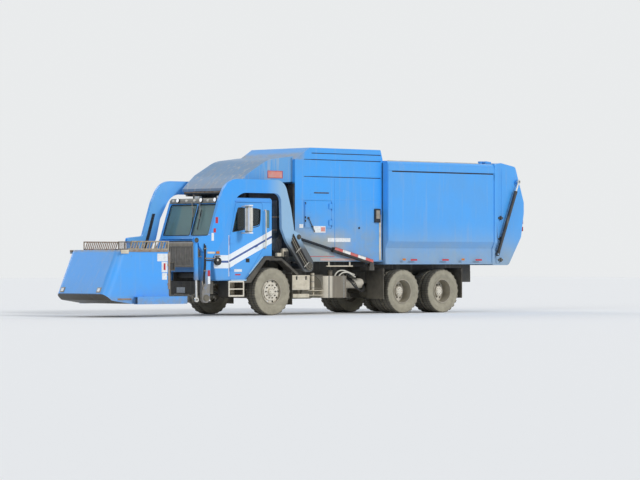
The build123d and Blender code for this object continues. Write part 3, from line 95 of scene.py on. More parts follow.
# %% Light and floor
def srgb(text):
    """Linear colour from a hex colour as a screen shows it."""
    parts = [int(text[i : i + 2], 16) / 255 for i in (1, 3, 5)]
    return [c / 12.92 if c <= 0.04045 else ((c + 0.055) / 1.055) ** 2.4 for c in parts] + [1.0]


def node(tree, kind, links=None, **settings):
    """Add a node, set its properties, then fill or link its inputs."""
    made = tree.nodes.new(kind)
    for key, value in settings.items():
        setattr(made, key, value)
    for key, value in (links or {}).items():
        if isinstance(value, bpy.types.NodeSocket):
            tree.links.new(value, made.inputs[key])
        else:
            made.inputs[key].default_value = value
    return made


def maths(tree, operation, *values, **settings):
    """Result of a Math node that is fed these values in order."""
    return node(tree, "ShaderNodeMath", dict(enumerate(values)), operation=operation, **settings).outputs[0]


bpy.context.scene.view_settings.view_transform = "Standard"
world = bpy.data.worlds.new("studio")
bpy.context.scene.world = world
world.use_nodes = True
sky = world.node_tree
sky.nodes.clear()
ray = node(sky, "ShaderNodeLightPath").outputs
seen = maths(sky, "MAXIMUM", ray["Is Camera Ray"], ray["Is Glossy Ray"])
seen = maths(sky, "MAXIMUM", seen, ray["Is Transmission Ray"])
fill = node(sky, "ShaderNodeBackground", {"Color": srgb("#EDF1F6"), "Strength": 0.50})
backdrop = node(sky, "ShaderNodeBackground", {"Color": srgb("#F1F3F4"), "Strength": 0.93})
choice = node(sky, "ShaderNodeMixShader", {0: seen, 1: fill.outputs[0], 2: backdrop.outputs[0]})
node(sky, "ShaderNodeOutputWorld", {"Surface": choice.outputs[0]})

for name, towards, spread, power in (
    ("left_sun", (-0.30, 1.0, 0.62), 14, 1.52),
    ("nose_sun", (1.0, 0.25, 0.45), 30, 0.55),
    ("right_sun", (0.10, -1.0, 0.60), 30, 0.55),
    ("tail_sun", (-1.0, -0.10, 0.40), 30, 0.45),
):
    lamp_data = bpy.data.lights.new(name, "SUN")
    lamp_data.angle = math.radians(spread)
    lamp_data.energy = power
    lamp = bpy.data.objects.new(name, lamp_data)
    lamp.rotation_euler = Vector(towards).to_track_quat("Z", "Y").to_euler()
    bpy.context.scene.collection.objects.link(lamp)

floor_mesh = bpy.data.meshes.new("floor")
floor_reach = 120
floor_corners = [(floor_reach * x, floor_reach * y, 0) for x, y in ((-1, -1), (1, -1), (1, 1), (-1, 1))]
floor_mesh.from_pydata(floor_corners, [], [(0, 1, 2, 3)])
floor = bpy.data.objects.new("floor", floor_mesh)
bpy.context.scene.collection.objects.link(floor)
floor_paint = bpy.data.materials.new("pale_floor")
floor_paint.use_nodes = True
floor_sockets = floor_paint.node_tree.nodes["Principled BSDF"].inputs
floor_sockets["Base Color"].default_value = srgb("#EEEFF0")
floor_sockets["Roughness"].default_value = 0.9
floor_mesh.materials.append(floor_paint)
print("lamps and floor ready")

# %% [markdown]
# Short names for the shader nodes that every material uses. A material starts from the
# object's own coordinates, so a noise has so many cells a metre on every piece. A mask is a
# number from 0 to 1, and a layer is a tint laid over a colour where its masks multiply to 1.

# %% Shader helpers
def product(tree, *factors):
    """Masks multiplied together."""
    result = factors[0]
    for factor in factors[1:]:
        result = maths(tree, "MULTIPLY", result, factor)
    return result


def remap(tree, value, start, end, low=0.0, high=1.0, **settings):
    """Carry a value's range from start and end to low and high."""
    links = {0: value, 1: start, 2: end, 3: low, 4: high}
    return node(tree, "ShaderNodeMapRange", links, **settings).outputs[0]


def ramp(tree, value, start, end):
    """A smooth 0 to 1 between two places along an axis."""
    return remap(tree, value, start, end, interpolation_type="SMOOTHSTEP")


def noise(tree, place, scale, detail, roughness=0.5):
    """Noise with that many cells a metre."""
    links = {"Vector": place, "Scale": scale, "Detail": detail, "Roughness": roughness}
    return node(tree, "ShaderNodeTexNoise", links).outputs[0]


def cloudy(tree, place, scale, low, high):
    """Noise from low to high that breaks up a mask's edge."""
    return remap(tree, noise(tree, place, scale, 6.0, 0.6), 0.35, 0.62, low, high)


def stretched(tree, place, scale):
    """Coordinates scaled along each axis, which draws a noise out into streaks."""
    return node(tree, "ShaderNodeMapping", {"Vector": place, "Scale": scale}).outputs[0]


def split(tree, vector):
    """The x, y and z of a vector."""
    return node(tree, "ShaderNodeSeparateXYZ", {0: vector}).outputs


def facing(tree):
    """The x, y and z of the way a face looks."""
    return split(tree, node(tree, "ShaderNodeNewGeometry").outputs["True Normal"])


def layer(tree, colour, tint, *masks):
    """Lay a tint over a colour by the product of its masks."""
    links = {0: product(tree, *masks), 6: colour, 7: srgb(tint)}
    return node(tree, "ShaderNodeMix", links, data_type="RGBA").outputs[2]


def relief(tree, height, strength, distance):
    """Bump from a height."""
    links = {"Strength": strength, "Distance": distance, "Height": height}
    return node(tree, "ShaderNodeBump", links).outputs[0]


def new_material(name):
    """A material without nodes, its tree, and the object's own coordinates."""
    made = bpy.data.materials.new(name)
    made.use_nodes = True
    made.node_tree.nodes.clear()
    return made, made.node_tree, node(made.node_tree, "ShaderNodeTexCoord").outputs["Object"]


def shade(tree, sockets):
    """End a material with its shader."""
    shader = node(tree, "ShaderNodeBsdfPrincipled", sockets)
    node(tree, "ShaderNodeOutputMaterial", {"Surface": shader.outputs[0]})


print("shader helpers ready")

# %% [markdown]
# Sprayed enamel on sheet steel. The gloss comes from the shader, the age from three layers
# over the fresh colour: sun-faded patches, pale run marks that follow the rain downwards, and
# road dust that thickens towards the ground. Small chips of rust are the last layer.

# %% Enamel
ROAD_DUST = "#8F8876"


def enamel(name, fresh, faded, fade, runs, dust, dust_top, rust, rough=0.34, marks=None):
    """Vehicle paint with fading, run marks, dust and chips. marks paints over the fresh coat."""
    made, tree, place = new_material(name)
    fade_mask = remap(tree, noise(tree, place, 0.85, 6.0, 0.6), 0.40, 0.68, 0.0, fade)
    colour = layer(tree, srgb(fresh), faded, fade_mask)
    if marks:
        colour = marks(tree, place, colour)
    run_noise = noise(tree, stretched(tree, place, (11.0, 11.0, 0.7)), 1.0, 4.0)
    colour = layer(tree, colour, "#B9B7AC", remap(tree, run_noise, 0.55, 0.74, 0.0, runs))
    height = remap(tree, split(tree, place)[2], dust_top, 0.25, 0.0, dust)
    specks = remap(tree, noise(tree, place, 5.0, 7.0, 0.65), 0.30, 0.66, 0.25, 1.0)
    dirt = product(tree, height, specks)
    colour = layer(tree, colour, ROAD_DUST, dirt)
    chips = remap(tree, noise(tree, place, 13.0, 5.0, 0.7), 0.66, 0.71, 0.0, rust)
    colour = layer(tree, colour, "#7A5238", chips)
    shade(tree, {
        "Base Color": colour,
        "Roughness": remap(tree, dirt, 0.0, 0.8, rough, 0.85),
        "Normal": relief(tree, noise(tree, place, 2.2, 2.0), 0.25, 0.02),
        "IOR": 1.5,
        "Coat Weight": 0.15,
        "Coat Roughness": 0.2,
    })
    return made


print("enamel ready")

# %% [markdown]
# The cab wears two white stripes with a thin dark line between them. They run level from the
# nose to the door's front edge, and climb rearwards across the door. A mask in X and Z paints
# them on the shell and on the doors alike, so they meet at the door's gap.

# %% Stripes on the cab
stripe_level = 1.235
stripe_slope = 0.44
stripe_bend_x = axle_x + 1.235
stripe_half = 0.150
line_half = 0.024


def cab_stripes(tree, place, colour):
    """White stripes and their dark line, on the cab's sides only."""
    x, y, z = split(tree, place)
    behind = maths(tree, "MAXIMUM", maths(tree, "SUBTRACT", stripe_bend_x, x), 0.0)
    centre = maths(tree, "MULTIPLY_ADD", behind, stripe_slope, stripe_level)
    off = maths(tree, "ABSOLUTE", maths(tree, "SUBTRACT", z, centre))
    on_side = maths(tree, "GREATER_THAN", maths(tree, "ABSOLUTE", y), cab_side_y - 0.02)
    colour = layer(tree, colour, "#EDF2F6", maths(tree, "LESS_THAN", off, stripe_half), on_side)
    return layer(tree, colour, "#3D5C9C", maths(tree, "LESS_THAN", off, line_half), on_side)


print("stripes climb from", round(stripe_bend_x, 3))

# %% [markdown]
# The arms' rear legs and the canopy's roof have lost their gloss. Their faded blue is mixed
# in by place: behind a line across the truck on the arms, and on top of the canopy. The arms'
# inner faces get a lighter blue, which is painted light, and the canopy's underside and inner
# faces are painted dark, which is painted shade.

# %% Faded arms and canopy, painted light and shade
def worn_rear_legs(tree, place, colour):
    """Chalky blue behind the cab, grime near the pivot, rubbed front feet, painted light on the inner faces.
    """
    x, y, z = split(tree, place)
    colour = layer(tree, colour, "#93B6D0", remap(tree, x, axle_x + 0.25, axle_x - 0.25, 0.0, 0.9))
    behind = maths(tree, "LESS_THAN", x, axle_x - 0.2)
    colour = layer(tree, colour, "#45413B", remap(tree, z, 1.80, 1.52, 0.0, 0.93), behind)
    foot = remap(tree, z, 1.10, 0.72, 0.0, 0.95)
    patchy = remap(tree, noise(tree, place, 7.0, 6.0, 0.65), 0.30, 0.48, 0.6, 1.0)
    ahead = maths(tree, "GREATER_THAN", x, axle_x + 1.5)
    colour = layer(tree, colour, "#7D776F", foot, patchy, ahead)
    # Painted light: faces that look in towards the middle get a lighter blue.
    inward = product(tree, facing(tree)[1], y)
    return layer(tree, colour, "#86C8FC", remap(tree, inward, -0.5, -0.9, 0.0, 0.6))


def dull_roof(tree, place, colour):
    """Chalky blue between the canopy's side sheets, brighter on the sides, painted shade underneath and on
    the inner faces.
    """
    x, y = split(tree, place)[:2]
    top = remap(tree, maths(tree, "ABSOLUTE", y), 0.93, 0.955, 0.75, 0.0)
    colour = layer(tree, colour, "#6786A6", top)
    streak_noise = noise(tree, stretched(tree, place, (0.8, 13.0, 0.8)), 1.0, 6.0, 0.65)
    colour = layer(tree, colour, "#9A8F7C", top, remap(tree, streak_noise, 0.50, 0.72, 0.0, 0.6))
    colour = layer(tree, colour, "#80705B", top, remap(tree, x, axle_x + 0.62, axle_x + 0.92, 0.0, 0.4))
    # Painted shade: faces that look down or in towards the middle are darkened.
    normal = facing(tree)
    under = maths(tree, "LESS_THAN", normal[2], -0.2)
    inward = maths(tree, "LESS_THAN", product(tree, normal[1], y), -0.5)
    return layer(tree, colour, "#35322F", maths(tree, "MAXIMUM", under, inward))


print("arm and canopy marks ready")

# %% [markdown]
# Dirt gathers in known places. Behind the arm the hopper's lower front corner is beige with
# dust, and the slope above the canopy is scuffed by what falls on it. The body's lower half fades
# to a greyer blue. Painted shade darkens the hopper's front wall under the canopy, the steps'
# front faces and the can's underside. The tank's outer face is painted darker and browner, the
# can is rubbed along its edges, and dust lies on the rims' lips. A mask is a ramp across X times
# a ramp across Z, broken by noise.

# %% Grime and painted shade by place
def hopper_grime(tree, place, colour):
    """Beige dust low behind the arm, scuffs on the front slope, painted shade on the front wall."""
    x, y, z = split(tree, place)
    low = product(tree, ramp(tree, z, 2.10, 1.70), ramp(tree, x, axle_x - 3.0, axle_x - 1.9))
    colour = layer(tree, colour, "#B0AEA2", low, cloudy(tree, place, 3.0, 0.7, 1.0))
    colour = layer(tree, colour, "#8A9DA8", ramp(tree, z, 2.75, 1.60), cloudy(tree, place, 2.2, 0.25, 0.75))
    slope = product(tree, ramp(tree, z, 3.60, 3.64), ramp(tree, x, axle_x - 1.20, axle_x - 1.02))
    colour = layer(tree, colour, "#94958C", slope, cloudy(tree, place, 5.0, 0.35, 0.8))
    # Painted shade: the hopper's front wall under the canopy is darkened.
    front = product(tree, ramp(tree, x, axle_x - 0.856, axle_x - 0.852), ramp(tree, z, 3.12, 3.02))
    return layer(tree, colour, "#3A4046", front, ramp(tree, maths(tree, "ABSOLUTE", y), 1.035, 1.030))


def body_haze(tree, place, colour):
    """Greyer and paler paint towards the bottom, dust on the roof."""
    low = ramp(tree, split(tree, place)[2], 2.30, 1.20)
    colour = layer(tree, colour, "#93A9B8", low, cloudy(tree, place, 1.6, 0.45, 0.8))
    upward = ramp(tree, facing(tree)[2], 0.75, 0.95)
    return layer(tree, colour, "#9C998C", upward, cloudy(tree, place, 1.8, 0.12, 0.65))


def step_faces(tree, place, colour):
    """Painted shade: the faces that look to the front are black, where the open step is dark."""
    # Painted shade on the faces that look to the front.
    forward = maths(tree, "GREATER_THAN", facing(tree)[0], 0.5)
    inner = maths(tree, "LESS_THAN", maths(tree, "ABSOLUTE", split(tree, place)[1]), 1.145)
    return layer(tree, colour, "#2B2A28", forward, inner)


def tank_faces(tree, place, colour):
    """A darker, browner outer face between pale rounded corners."""
    x = split(tree, place)[0]
    rear = ramp(tree, x, axle_x - 2.46, axle_x - 2.41)
    return layer(tree, colour, "#6E665A", rear, ramp(tree, x, axle_x - 1.93, axle_x - 1.99))


def can_edges(tree, place, colour):
    """Rubbed grey steel along the can's bottom edge and round its mouth, painted shade on the underside."""
    z = split(tree, place)[2]
    colour = layer(tree, colour, "#8F9088", ramp(tree, z, 0.50, 0.33), cloudy(tree, place, 6.0, 0.1, 0.6))
    # Painted shade: faces that look down, near the bottom, are darkened.
    under = ramp(tree, facing(tree)[2], -0.20, -0.45)
    colour = layer(tree, colour, "#34322F", under, ramp(tree, z, 0.56, 0.50))
    return layer(tree, colour, "#97958A", ramp(tree, z, 1.43, 1.49), cloudy(tree, place, 8.0, 0.3, 0.9))


def rim_faces(tree, place, colour):
    """Road dust on the rims' outer lips, paler discs inside them."""
    axes = split(tree, place)
    level = node(tree, "ShaderNodeCombineXYZ", {0: axes[0], 2: axes[2]}).outputs[0]
    hubs = [(axle_x, 0.0, front_radius)] + [(hub_x, 0.0, rear_radius) for hub_x in rear_axle_xs]
    away = [node(tree, "ShaderNodeVectorMath", {0: level, 1: hub}, operation="DISTANCE") for hub in hubs]
    reach = away[0].outputs[1]
    for other in away[1:]:
        reach = maths(tree, "MINIMUM", reach, other.outputs[1])
    lip = ramp(tree, reach, 0.262, 0.271)
    colour = layer(tree, colour, "#8E8778", lip, cloudy(tree, place, 5.0, 0.75, 0.95))
    disc = ramp(tree, reach, 0.262, 0.245)
    return layer(tree, colour, "#F4EDDF", disc, cloudy(tree, place, 6.0, 0.7, 0.2))


print("grime ready")

# %% [markdown]
# The enamels. After the fresh and the faded colour come the strength of the fading, the run
# marks and the dust, the height where the dust ends, and the strength of the rust. Dull coats
# have a roughness after that, and marks is the function that paints on the fresh coat.

# %% Enamel coats
body_enamel = enamel("sky_blue_body_enamel", "#4AA4F0", "#5A9CDA", 0.5, 0.12, 0.5, 1.9, 0.12, marks=body_haze)
hopper_enamel = enamel(
    "sky_blue_hopper_enamel", "#3CA2F4", "#569CDA", 0.45, 0.12, 0.4, 1.7, 0.15, marks=hopper_grime
)
cab_enamel = enamel("sky_blue_cab_enamel", "#4BA5F1", "#5C9EDA", 0.3, 0.05, 0.5, 1.3, 0.1, marks=cab_stripes)
arm_enamel = enamel(
    "sky_blue_arm_enamel", "#36A0F4", "#569CDA", 0.4, 0.08, 0.7, 1.1, 0.3, marks=worn_rear_legs
)
can_enamel = enamel("sky_blue_can_enamel", "#46A4F6", "#62A0DA", 0.45, 0.10, 0.3, 0.95, 0.35, marks=can_edges)
canopy_enamel = enamel("chalky_canopy_enamel", "#549DDA", "#76A4CC", 0.6, 0.55, 0.1, 3.6, 0.3, 0.5, dull_roof)
door_enamel = enamel("chalky_top_door_enamel", "#8CA3B3", "#A7B4B8", 0.7, 0.4, 0.3, 4.2, 0.5, 0.6)
cream_enamel = enamel("cream_wheel_enamel", "#DAD3C3", "#C6BFAE", 0.7, 0.2, 0.3, 1.2, 0.3, 0.6, rim_faces)
step_enamel = enamel("cream_step_enamel", "#E2DBCB", "#CFC7B6", 0.7, 0.3, 0.25, 1.2, 0.3, 0.6, step_faces)
tank_enamel = enamel("cream_tank_enamel", "#DDD5C4", "#C4BCAA", 0.7, 0.35, 0.5, 1.3, 0.4, 0.6, tank_faces)
chassis_enamel = enamel("black_chassis_enamel", "#1F2022", "#37383A", 0.5, 0.2, 0.55, 1.5, 0.5, 0.5)
print("enamel coats ready")

# %% [markdown]
# Plain finishes: cast iron, hard chrome on the cylinder rods, moulded plastic, rubber, seat
# cloth and lens plastic. One function sets the shader, and a fine noise gives each
# its grain as bump and a little change of colour.

# %% Plain finishes
def finish(name, base, other, grain, rough, bump=0.1, dust=0.0, dust_top=1.5, **fixed):
    """A material with a grain of that many noise cells a metre; fixed sets plain sockets."""
    made, tree, place = new_material(name)
    grains = noise(tree, place, grain, 5.0, 0.6)
    colour = layer(tree, srgb(base), other, remap(tree, grains, 0.35, 0.65))
    if dust:
        height = remap(tree, split(tree, place)[2], dust_top, 0.2, 0.0, dust)
        amount = product(tree, height, noise(tree, place, 4.0, 5.0))
        colour = layer(tree, colour, ROAD_DUST, maths(tree, "MULTIPLY", amount, 1.6, use_clamp=True))
    sockets = {key.replace("_", " ").title(): value for key, value in fixed.items()}
    sockets["Base Color"] = colour
    sockets["Normal"] = relief(tree, grains, bump, 0.01)
    sockets["Roughness"] = rough
    shade(tree, sockets)
    return made


cast_iron = finish("dusty_cast_iron", "#3A3936", "#57534A", 12, 0.75, 0.3, dust=0.6)
# The lift cylinders' rods are dark metal: a painted dark reflection.
dark_reflection_rod = finish("rod_painted_dark_reflection", "#42454A", "#34373B", 30, 0.25, 0.02, metallic=1.0)
hard_chrome = finish("hard_chrome_rod", "#E6E4DE", "#CFCDC6", 30, 0.3, 0.02, metallic=0.7)
flare_rubber = finish("moulded_flare_rubber", "#2C2B2A", "#423F3B", 8, 0.7, 0.15, dust=0.45, dust_top=1.7)
grille_plastic = finish("moulded_grille_plastic", "#B9B4AC", "#A39E96", 9, 0.55, 0.08)
trim_plastic = finish("black_moulded_trim", "#141516", "#242527", 16, 0.5, 0.1)
flap_rubber = finish("sheet_rubber", "#2B2927", "#45413A", 5, 0.85, 0.2, dust=0.5, dust_top=1.2)
seat_cloth = finish("woven_seat_cloth", "#26272B", "#34363B", 220, 0.95, 0.3)
lens_plastic = finish("clear_lamp_plastic", "#E8E4DA", "#CFCBC0", 60, 0.15, 0.05)
amber_plastic = finish("amber_lamp_plastic", "#D2822C", "#B96A1E", 60, 0.2, 0.05)
red_plastic = finish("red_lamp_plastic", "#A21C18", "#8A1512", 60, 0.2, 0.05)
mirror_plastic = finish("cream_mirror_plastic", "#E2DFD4", "#C9C5B8", 10, 0.45, 0.05)
white_tape = finish("white_reflective_tape", "#F1F3F4", "#DDE1E4", 40, 0.35, 0.03)
red_tape = finish("red_reflective_tape", "#C8323A", "#B0222B", 40, 0.35, 0.03)
faded_red = finish("faded_red_plate", "#D98379", "#CF9A90", 9, 0.5, 0.03)
fence_steel = finish("pale_fence_steel", "#B3A998", "#94866F", 14, 0.8, 0.2)
# Pale blue paint for the sill; on the wheel arch's edge it is a painted highlight.
sill_and_arch_highlight_paint = finish("pale_sill_and_arch_highlight_paint", "#A9CFEA", "#8FBBDD", 9, 0.5, 0.05)
stack_paint = finish("sun_bleached_stack_paint", "#4C5A68", "#3A444E", 7, 0.6, 0.1)
# Dark sheet steel that is painted shade in deep gaps.
shade_sheet = finish("painted_shade_sheet_steel", "#2C2D2E", "#474644", 6, 0.8, 0.15)
blank_plate = finish("blank_white_plate", "#ECEFF1", "#D5DADC", 20, 0.4, 0.03)
mirror_glass = finish("silvered_mirror_glass", "#D8DCE0", "#CDD2D6", 2, 0.03, 0.0, metallic=1.0)
hose_rubber = finish("hydraulic_hose_rubber", "#1B1B1C", "#2E2D2B", 40, 0.6, 0.1)
zinc_steel = finish("zinc_plated_steel", "#9A9890", "#84817A", 40, 0.4, 0.05, metallic=0.8)
rusty_steel = finish("rusty_bare_steel", "#8E6A4E", "#A79C89", 14, 0.85, 0.3)
visor_paint = finish("grey_visor_paint", "#8C8C88", "#77766F", 7, 0.6, 0.1)
frame_plastic = finish("pale_moulded_plastic", "#A39A8B", "#8B8375", 8, 0.6, 0.1)
box_paint = finish("dusty_cream_paint", "#E0D7C3", "#C2B8A3", 6, 0.7, 0.12, dust=0.3)
pipe_paint = finish("dusty_pipe_paint", "#A79F8F", "#8C8676", 18, 0.6, 0.1)
pink_tape = finish("worn_pink_tape", "#C9A09C", "#B8AFA6", 9, 0.6, 0.05)
rim_steel = finish("rubbed_rim_steel", "#9C9387", "#8A6F58", 11, 0.7, 0.2)
lit_lens = finish(
    "white_lamp_glass", "#FFFFFF", "#F4F6F8", 40, 0.2, 0.02,
    emission_strength=0.35, emission_color=(1.0, 1.0, 1.0, 1.0),
)
print("plain finishes ready")

# %% [markdown]
# Laminated glass. The windscreen is only half clear, and its diffuse tint is a painted sheen, so
# the cab reads as pale and grey. The door's glass is darker and clearer.

# %% Glass
def pane(name, tint, clear):
    """Tinted glass, partly diffuse so its tint is a painted sheen that catches the light, with a film of dust
    in its roughness.
    """
    made, tree, place = new_material(name)
    haze = remap(tree, noise(tree, place, 3.0, 4.0), 0.4, 0.7, 0.02, 0.12)
    shade(tree, {"Base Color": srgb(tint), "Roughness": haze, "Transmission Weight": clear, "IOR": 1.45})
    return made


# The windscreen's diffuse tint is a painted sheen.
sheen_windscreen_glass = pane("dusty_windscreen_glass_painted_sheen", "#93B9BA", 0.60)
door_glass = pane("tinted_door_glass", "#54696C", 0.88)
print("glass ready")

# %% [markdown]
# Tyres. The rubber is nearly hidden by pale road dust on the sidewalls, and darker on the
# tread, where the road wipes it. Bump cuts the grooves: some run round the tread, and short
# ones cross it. The pattern needs each axle's centre, so there is one material for each axle.

# %% Tyre rubber
def tyre_rubber(name, hub_x, radius):
    """Rubber with sidewall rings, tread grooves and dust, centred on an axle."""
    made, tree, place = new_material(name)
    centred = node(tree, "ShaderNodeMapping", {"Vector": place, "Location": (-hub_x, 0.0, -radius)})
    x, y, z = split(tree, centred.outputs[0])
    flat = node(tree, "ShaderNodeCombineXYZ", {0: x, 2: z}).outputs[0]
    reach = node(tree, "ShaderNodeVectorMath", {0: flat}, operation="LENGTH").outputs["Value"]
    on_tread = remap(tree, reach, radius - 0.030, radius - 0.008)
    groove = remap(tree, maths(tree, "PINGPONG", y, 0.062), 0.004, 0.010, 1.0, 0.0)
    turn = maths(tree, "ARCTAN2", z, x)
    sipe = remap(tree, maths(tree, "SINE", product(tree, turn, 58.0)), 0.80, 0.95, 0.0, 0.8)
    cut = product(tree, maths(tree, "MAXIMUM", groove, sipe), on_tread)
    rings = maths(tree, "SINE", product(tree, reach, 190.0))
    ring_depth = product(tree, rings, remap(tree, reach, radius - 0.10, radius - 0.02), 0.12)
    dusty = remap(tree, noise(tree, place, 7.0, 6.0, 0.6), 0.30, 0.62, 0.72, 1.0)
    wiped = remap(tree, on_tread, 0.0, 1.0, 1.0, 0.35)
    colour = layer(tree, srgb("#2B2A28"), "#A39D8B", dusty, wiped)
    shade(tree, {
        "Base Color": layer(tree, colour, "#1C1B1A", cut),
        "Normal": relief(tree, maths(tree, "SUBTRACT", ring_depth, cut), 0.8, 0.012),
        "Roughness": 0.88,
    })
    return made


front_tyre_rubber = tyre_rubber("dusty_tyre_rubber_front", axle_x, front_radius)
print("tyre rubber ready")

# %% [markdown]
# Each of the frame's nodes gets its finish. The pairs on the two sides are named one by one.

# %% Dress the frame's nodes
def dress(material, *names):
    """Give frame nodes their material."""
    for name in names:
        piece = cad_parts[name]
        if not piece.data.materials:
            piece.data.materials.append(material)
        for holder in piece.material_slots:
            holder.material = material


dress(body_enamel, "main_body", "tailgate")
dress(hopper_enamel, "hopper", "hopper_side_door")
dress(cab_enamel, "cab_shell", "cab_door_left", "cab_door_right")
dress(arm_enamel, "lift_arms", "fork_cylinder_barrels")
dress(can_enamel, "can_shell")
dress(canopy_enamel, "cab_guard")
dress(door_enamel, "top_door")
dress(step_enamel, "cab_steps")
dress(cream_enamel, "front_rim_left", "front_rim_right", "rear_rims_1_left", "rear_rims_1_right")
dress(cream_enamel, "rear_rims_2_left", "rear_rims_2_right")
dress(tank_enamel, "side_tanks")
dress(chassis_enamel, "frame", "bumper", "forks", "side_arm_beam", "side_arm_boom", "lift_cylinder_barrels")
dress(chassis_enamel, "gripper_finger_rear", "gripper_finger_front", "tailgate_cylinder_barrels")
dress(cast_iron, "front_axle", "drive_line", "rear_suspension", "engine", "side_arm_rail", "packer_blade")
dress(cast_iron, "knuckle_left", "knuckle_right")
dress(dark_reflection_rod, "lift_cylinder_rods")
dress(hard_chrome, "fork_cylinder_rods", "tailgate_cylinder_rods")
dress(flare_rubber, "fenders")
dress(flap_rubber, "mud_flaps")
dress(grille_plastic, "grille")
dress(trim_plastic, "dashboard")
dress(stack_paint, "intake_stack")
dress(seat_cloth, "cab_seats")
dress(lens_plastic, "lamps")
dress(red_plastic, "tail_lamps")
dress(fence_steel, "can_fence")
dress(sheen_windscreen_glass, "cab_glass")
dress(door_glass, "door_glass_left", "door_glass_right")
dress(mirror_plastic, "mirror_left", "mirror_right")
dress(front_tyre_rubber, "front_tyre_left", "front_tyre_right")
for row, hub_x in enumerate(rear_axle_xs, 1):
    rubber = tyre_rubber(f"dusty_tyre_rubber_rear_{row}", hub_x, rear_radius)
    dress(rubber, f"rear_tyres_{row}_left", f"rear_tyres_{row}_right")
print("nodes dressed:", len(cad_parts))

# %% [markdown]
# Things that repeat are grown by Geometry Nodes: nuts round a hub, rivets and ribs in a row,
# lugs round a tyre's shoulder. A tree's inputs are its sizes. Its result is turned into a
# plain mesh, because the exported model keeps no instances, and then rides on a body.

# %% Trees and baking
def new_tree(name, **sizes):
    """Geometry tree with these size inputs and a material input, and the sockets they feed."""
    tree = bpy.data.node_groups.new(name, "GeometryNodeTree")
    for label, kind in {**sizes, "Material": "Material"}.items():
        tree.interface.new_socket(label, in_out="INPUT", socket_type="NodeSocket" + kind)
    tree.interface.new_socket("Geometry", in_out="OUTPUT", socket_type="NodeSocketGeometry")
    return tree, node(tree, "NodeGroupInput").outputs


def close_tree(tree, sizes, points, shape, turn, shift=(0, 0, 0)):
    """Put the shape on every point, realise the copies, set their material and end the tree."""
    links = {"Points": points, "Instance": shape, "Rotation": turn}
    copies = node(tree, "GeometryNodeInstanceOnPoints", links).outputs[0]
    moved = node(tree, "GeometryNodeTransform", {"Geometry": copies, "Translation": shift}).outputs[0]
    real = node(tree, "GeometryNodeRealizeInstances", {0: moved}).outputs[0]
    painted = node(tree, "GeometryNodeSetMaterial", {"Geometry": real, "Material": sizes["Material"]})
    node(tree, "NodeGroupOutput", {0: painted.outputs[0]})


def wheel_ring(tree, sizes):
    """Points on an upright circle across the truck."""
    ring = node(tree, "GeometryNodeMeshCircle", {"Vertices": sizes["Count"], "Radius": sizes["Ring_radius"]})
    upright = {"Geometry": ring.outputs[0], "Rotation": (math.pi / 2, 0, 0)}
    return node(tree, "GeometryNodeTransform", upright).outputs[0]


def straight_row(tree, sizes):
    """Points in a row, one step apart."""
    links = {"Count": sizes["Count"], "Start Location": sizes["Start"], "Offset": sizes["Step"]}
    return node(tree, "GeometryNodeMeshLine", links, mode="OFFSET").outputs[0]


def settle(piece, body):
    """Put a finished piece on its body."""
    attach(piece, body)


def grow(name, tree, body, finish_slot, **values):
    """Run a tree with these inputs, keep the result as a plain mesh, and let it ride on the body."""
    holder = bpy.data.objects.new(name + "_seed", bpy.data.meshes.new(name + "_seed"))
    bpy.context.scene.collection.objects.link(holder)
    modifier = holder.modifiers.new("grow", "NODES")
    modifier.node_group = tree
    for item in tree.interface.items_tree:
        if item.item_type == "SOCKET" and item.in_out == "INPUT":
            modifier[item.identifier] = values[item.name]
    bpy.context.view_layer.update()
    graph = bpy.context.evaluated_depsgraph_get()
    mesh = bpy.data.meshes.new_from_object(holder.evaluated_get(graph))
    bpy.data.objects.remove(holder)
    piece = bpy.data.objects.new(name, mesh)
    bpy.context.scene.collection.objects.link(piece)
    settle(piece, body)


print("tree makers ready")

# %% Ring of nuts
ring_tree, ring_in = new_tree(
    "ring_of_nuts", Count="Int", Ring_radius="Float", Centre="Vector", Nut_radius="Float", Nut_length="Float"
)
nut_sizes = {"Vertices": 6, "Radius": ring_in["Nut_radius"], "Depth": ring_in["Nut_length"]}
nut = node(ring_tree, "GeometryNodeMeshCylinder", nut_sizes).outputs[0]
lying = (math.pi / 2, 0, 0)
close_tree(ring_tree, ring_in, wheel_ring(ring_tree, ring_in), nut, lying, ring_in["Centre"])
print("tree:", ring_tree.name)

# %% Row of rivet heads
rivet_tree, rivet_in = new_tree(
    "row_of_rivets", Count="Int", Start="Vector", Step="Vector", Head_radius="Float", Facing="Vector"
)
half = maths(rivet_tree, "MULTIPLY", rivet_in["Head_radius"], 0.6)
head_sizes = {"Vertices": 8, "Radius Top": half, "Radius Bottom": rivet_in["Head_radius"], "Depth": half}
head = node(rivet_tree, "GeometryNodeMeshCone", head_sizes).outputs[0]
close_tree(rivet_tree, rivet_in, straight_row(rivet_tree, rivet_in), head, rivet_in["Facing"])
print("tree:", rivet_tree.name)

# %% Row of ribs
rib_tree, rib_in = new_tree(
    "row_of_ribs", Count="Int", Start="Vector", Step="Vector", Rib_size="Vector", Lean="Vector"
)
rib = node(rib_tree, "GeometryNodeMeshCube", {"Size": rib_in["Rib_size"]}).outputs[0]
close_tree(rib_tree, rib_in, straight_row(rib_tree, rib_in), rib, rib_in["Lean"])
print("tree:", rib_tree.name)

# %% Ring of shoulder lugs
lug_tree, lug_in = new_tree(
    "ring_of_lugs", Count="Int", Ring_radius="Float", Centre="Vector", Lug_size="Vector"
)
spot = node(lug_tree, "GeometryNodeInputPosition").outputs[0]
outward = node(lug_tree, "FunctionNodeAlignRotationToVector", {"Vector": spot}, axis="Z", pivot_axis="Y")
lug = node(lug_tree, "GeometryNodeMeshCube", {"Size": lug_in["Lug_size"]}).outputs[0]
close_tree(lug_tree, lug_in, wheel_ring(lug_tree, lug_in), lug, outward.outputs[0], lug_in["Centre"])
print("tree:", lug_tree.name)

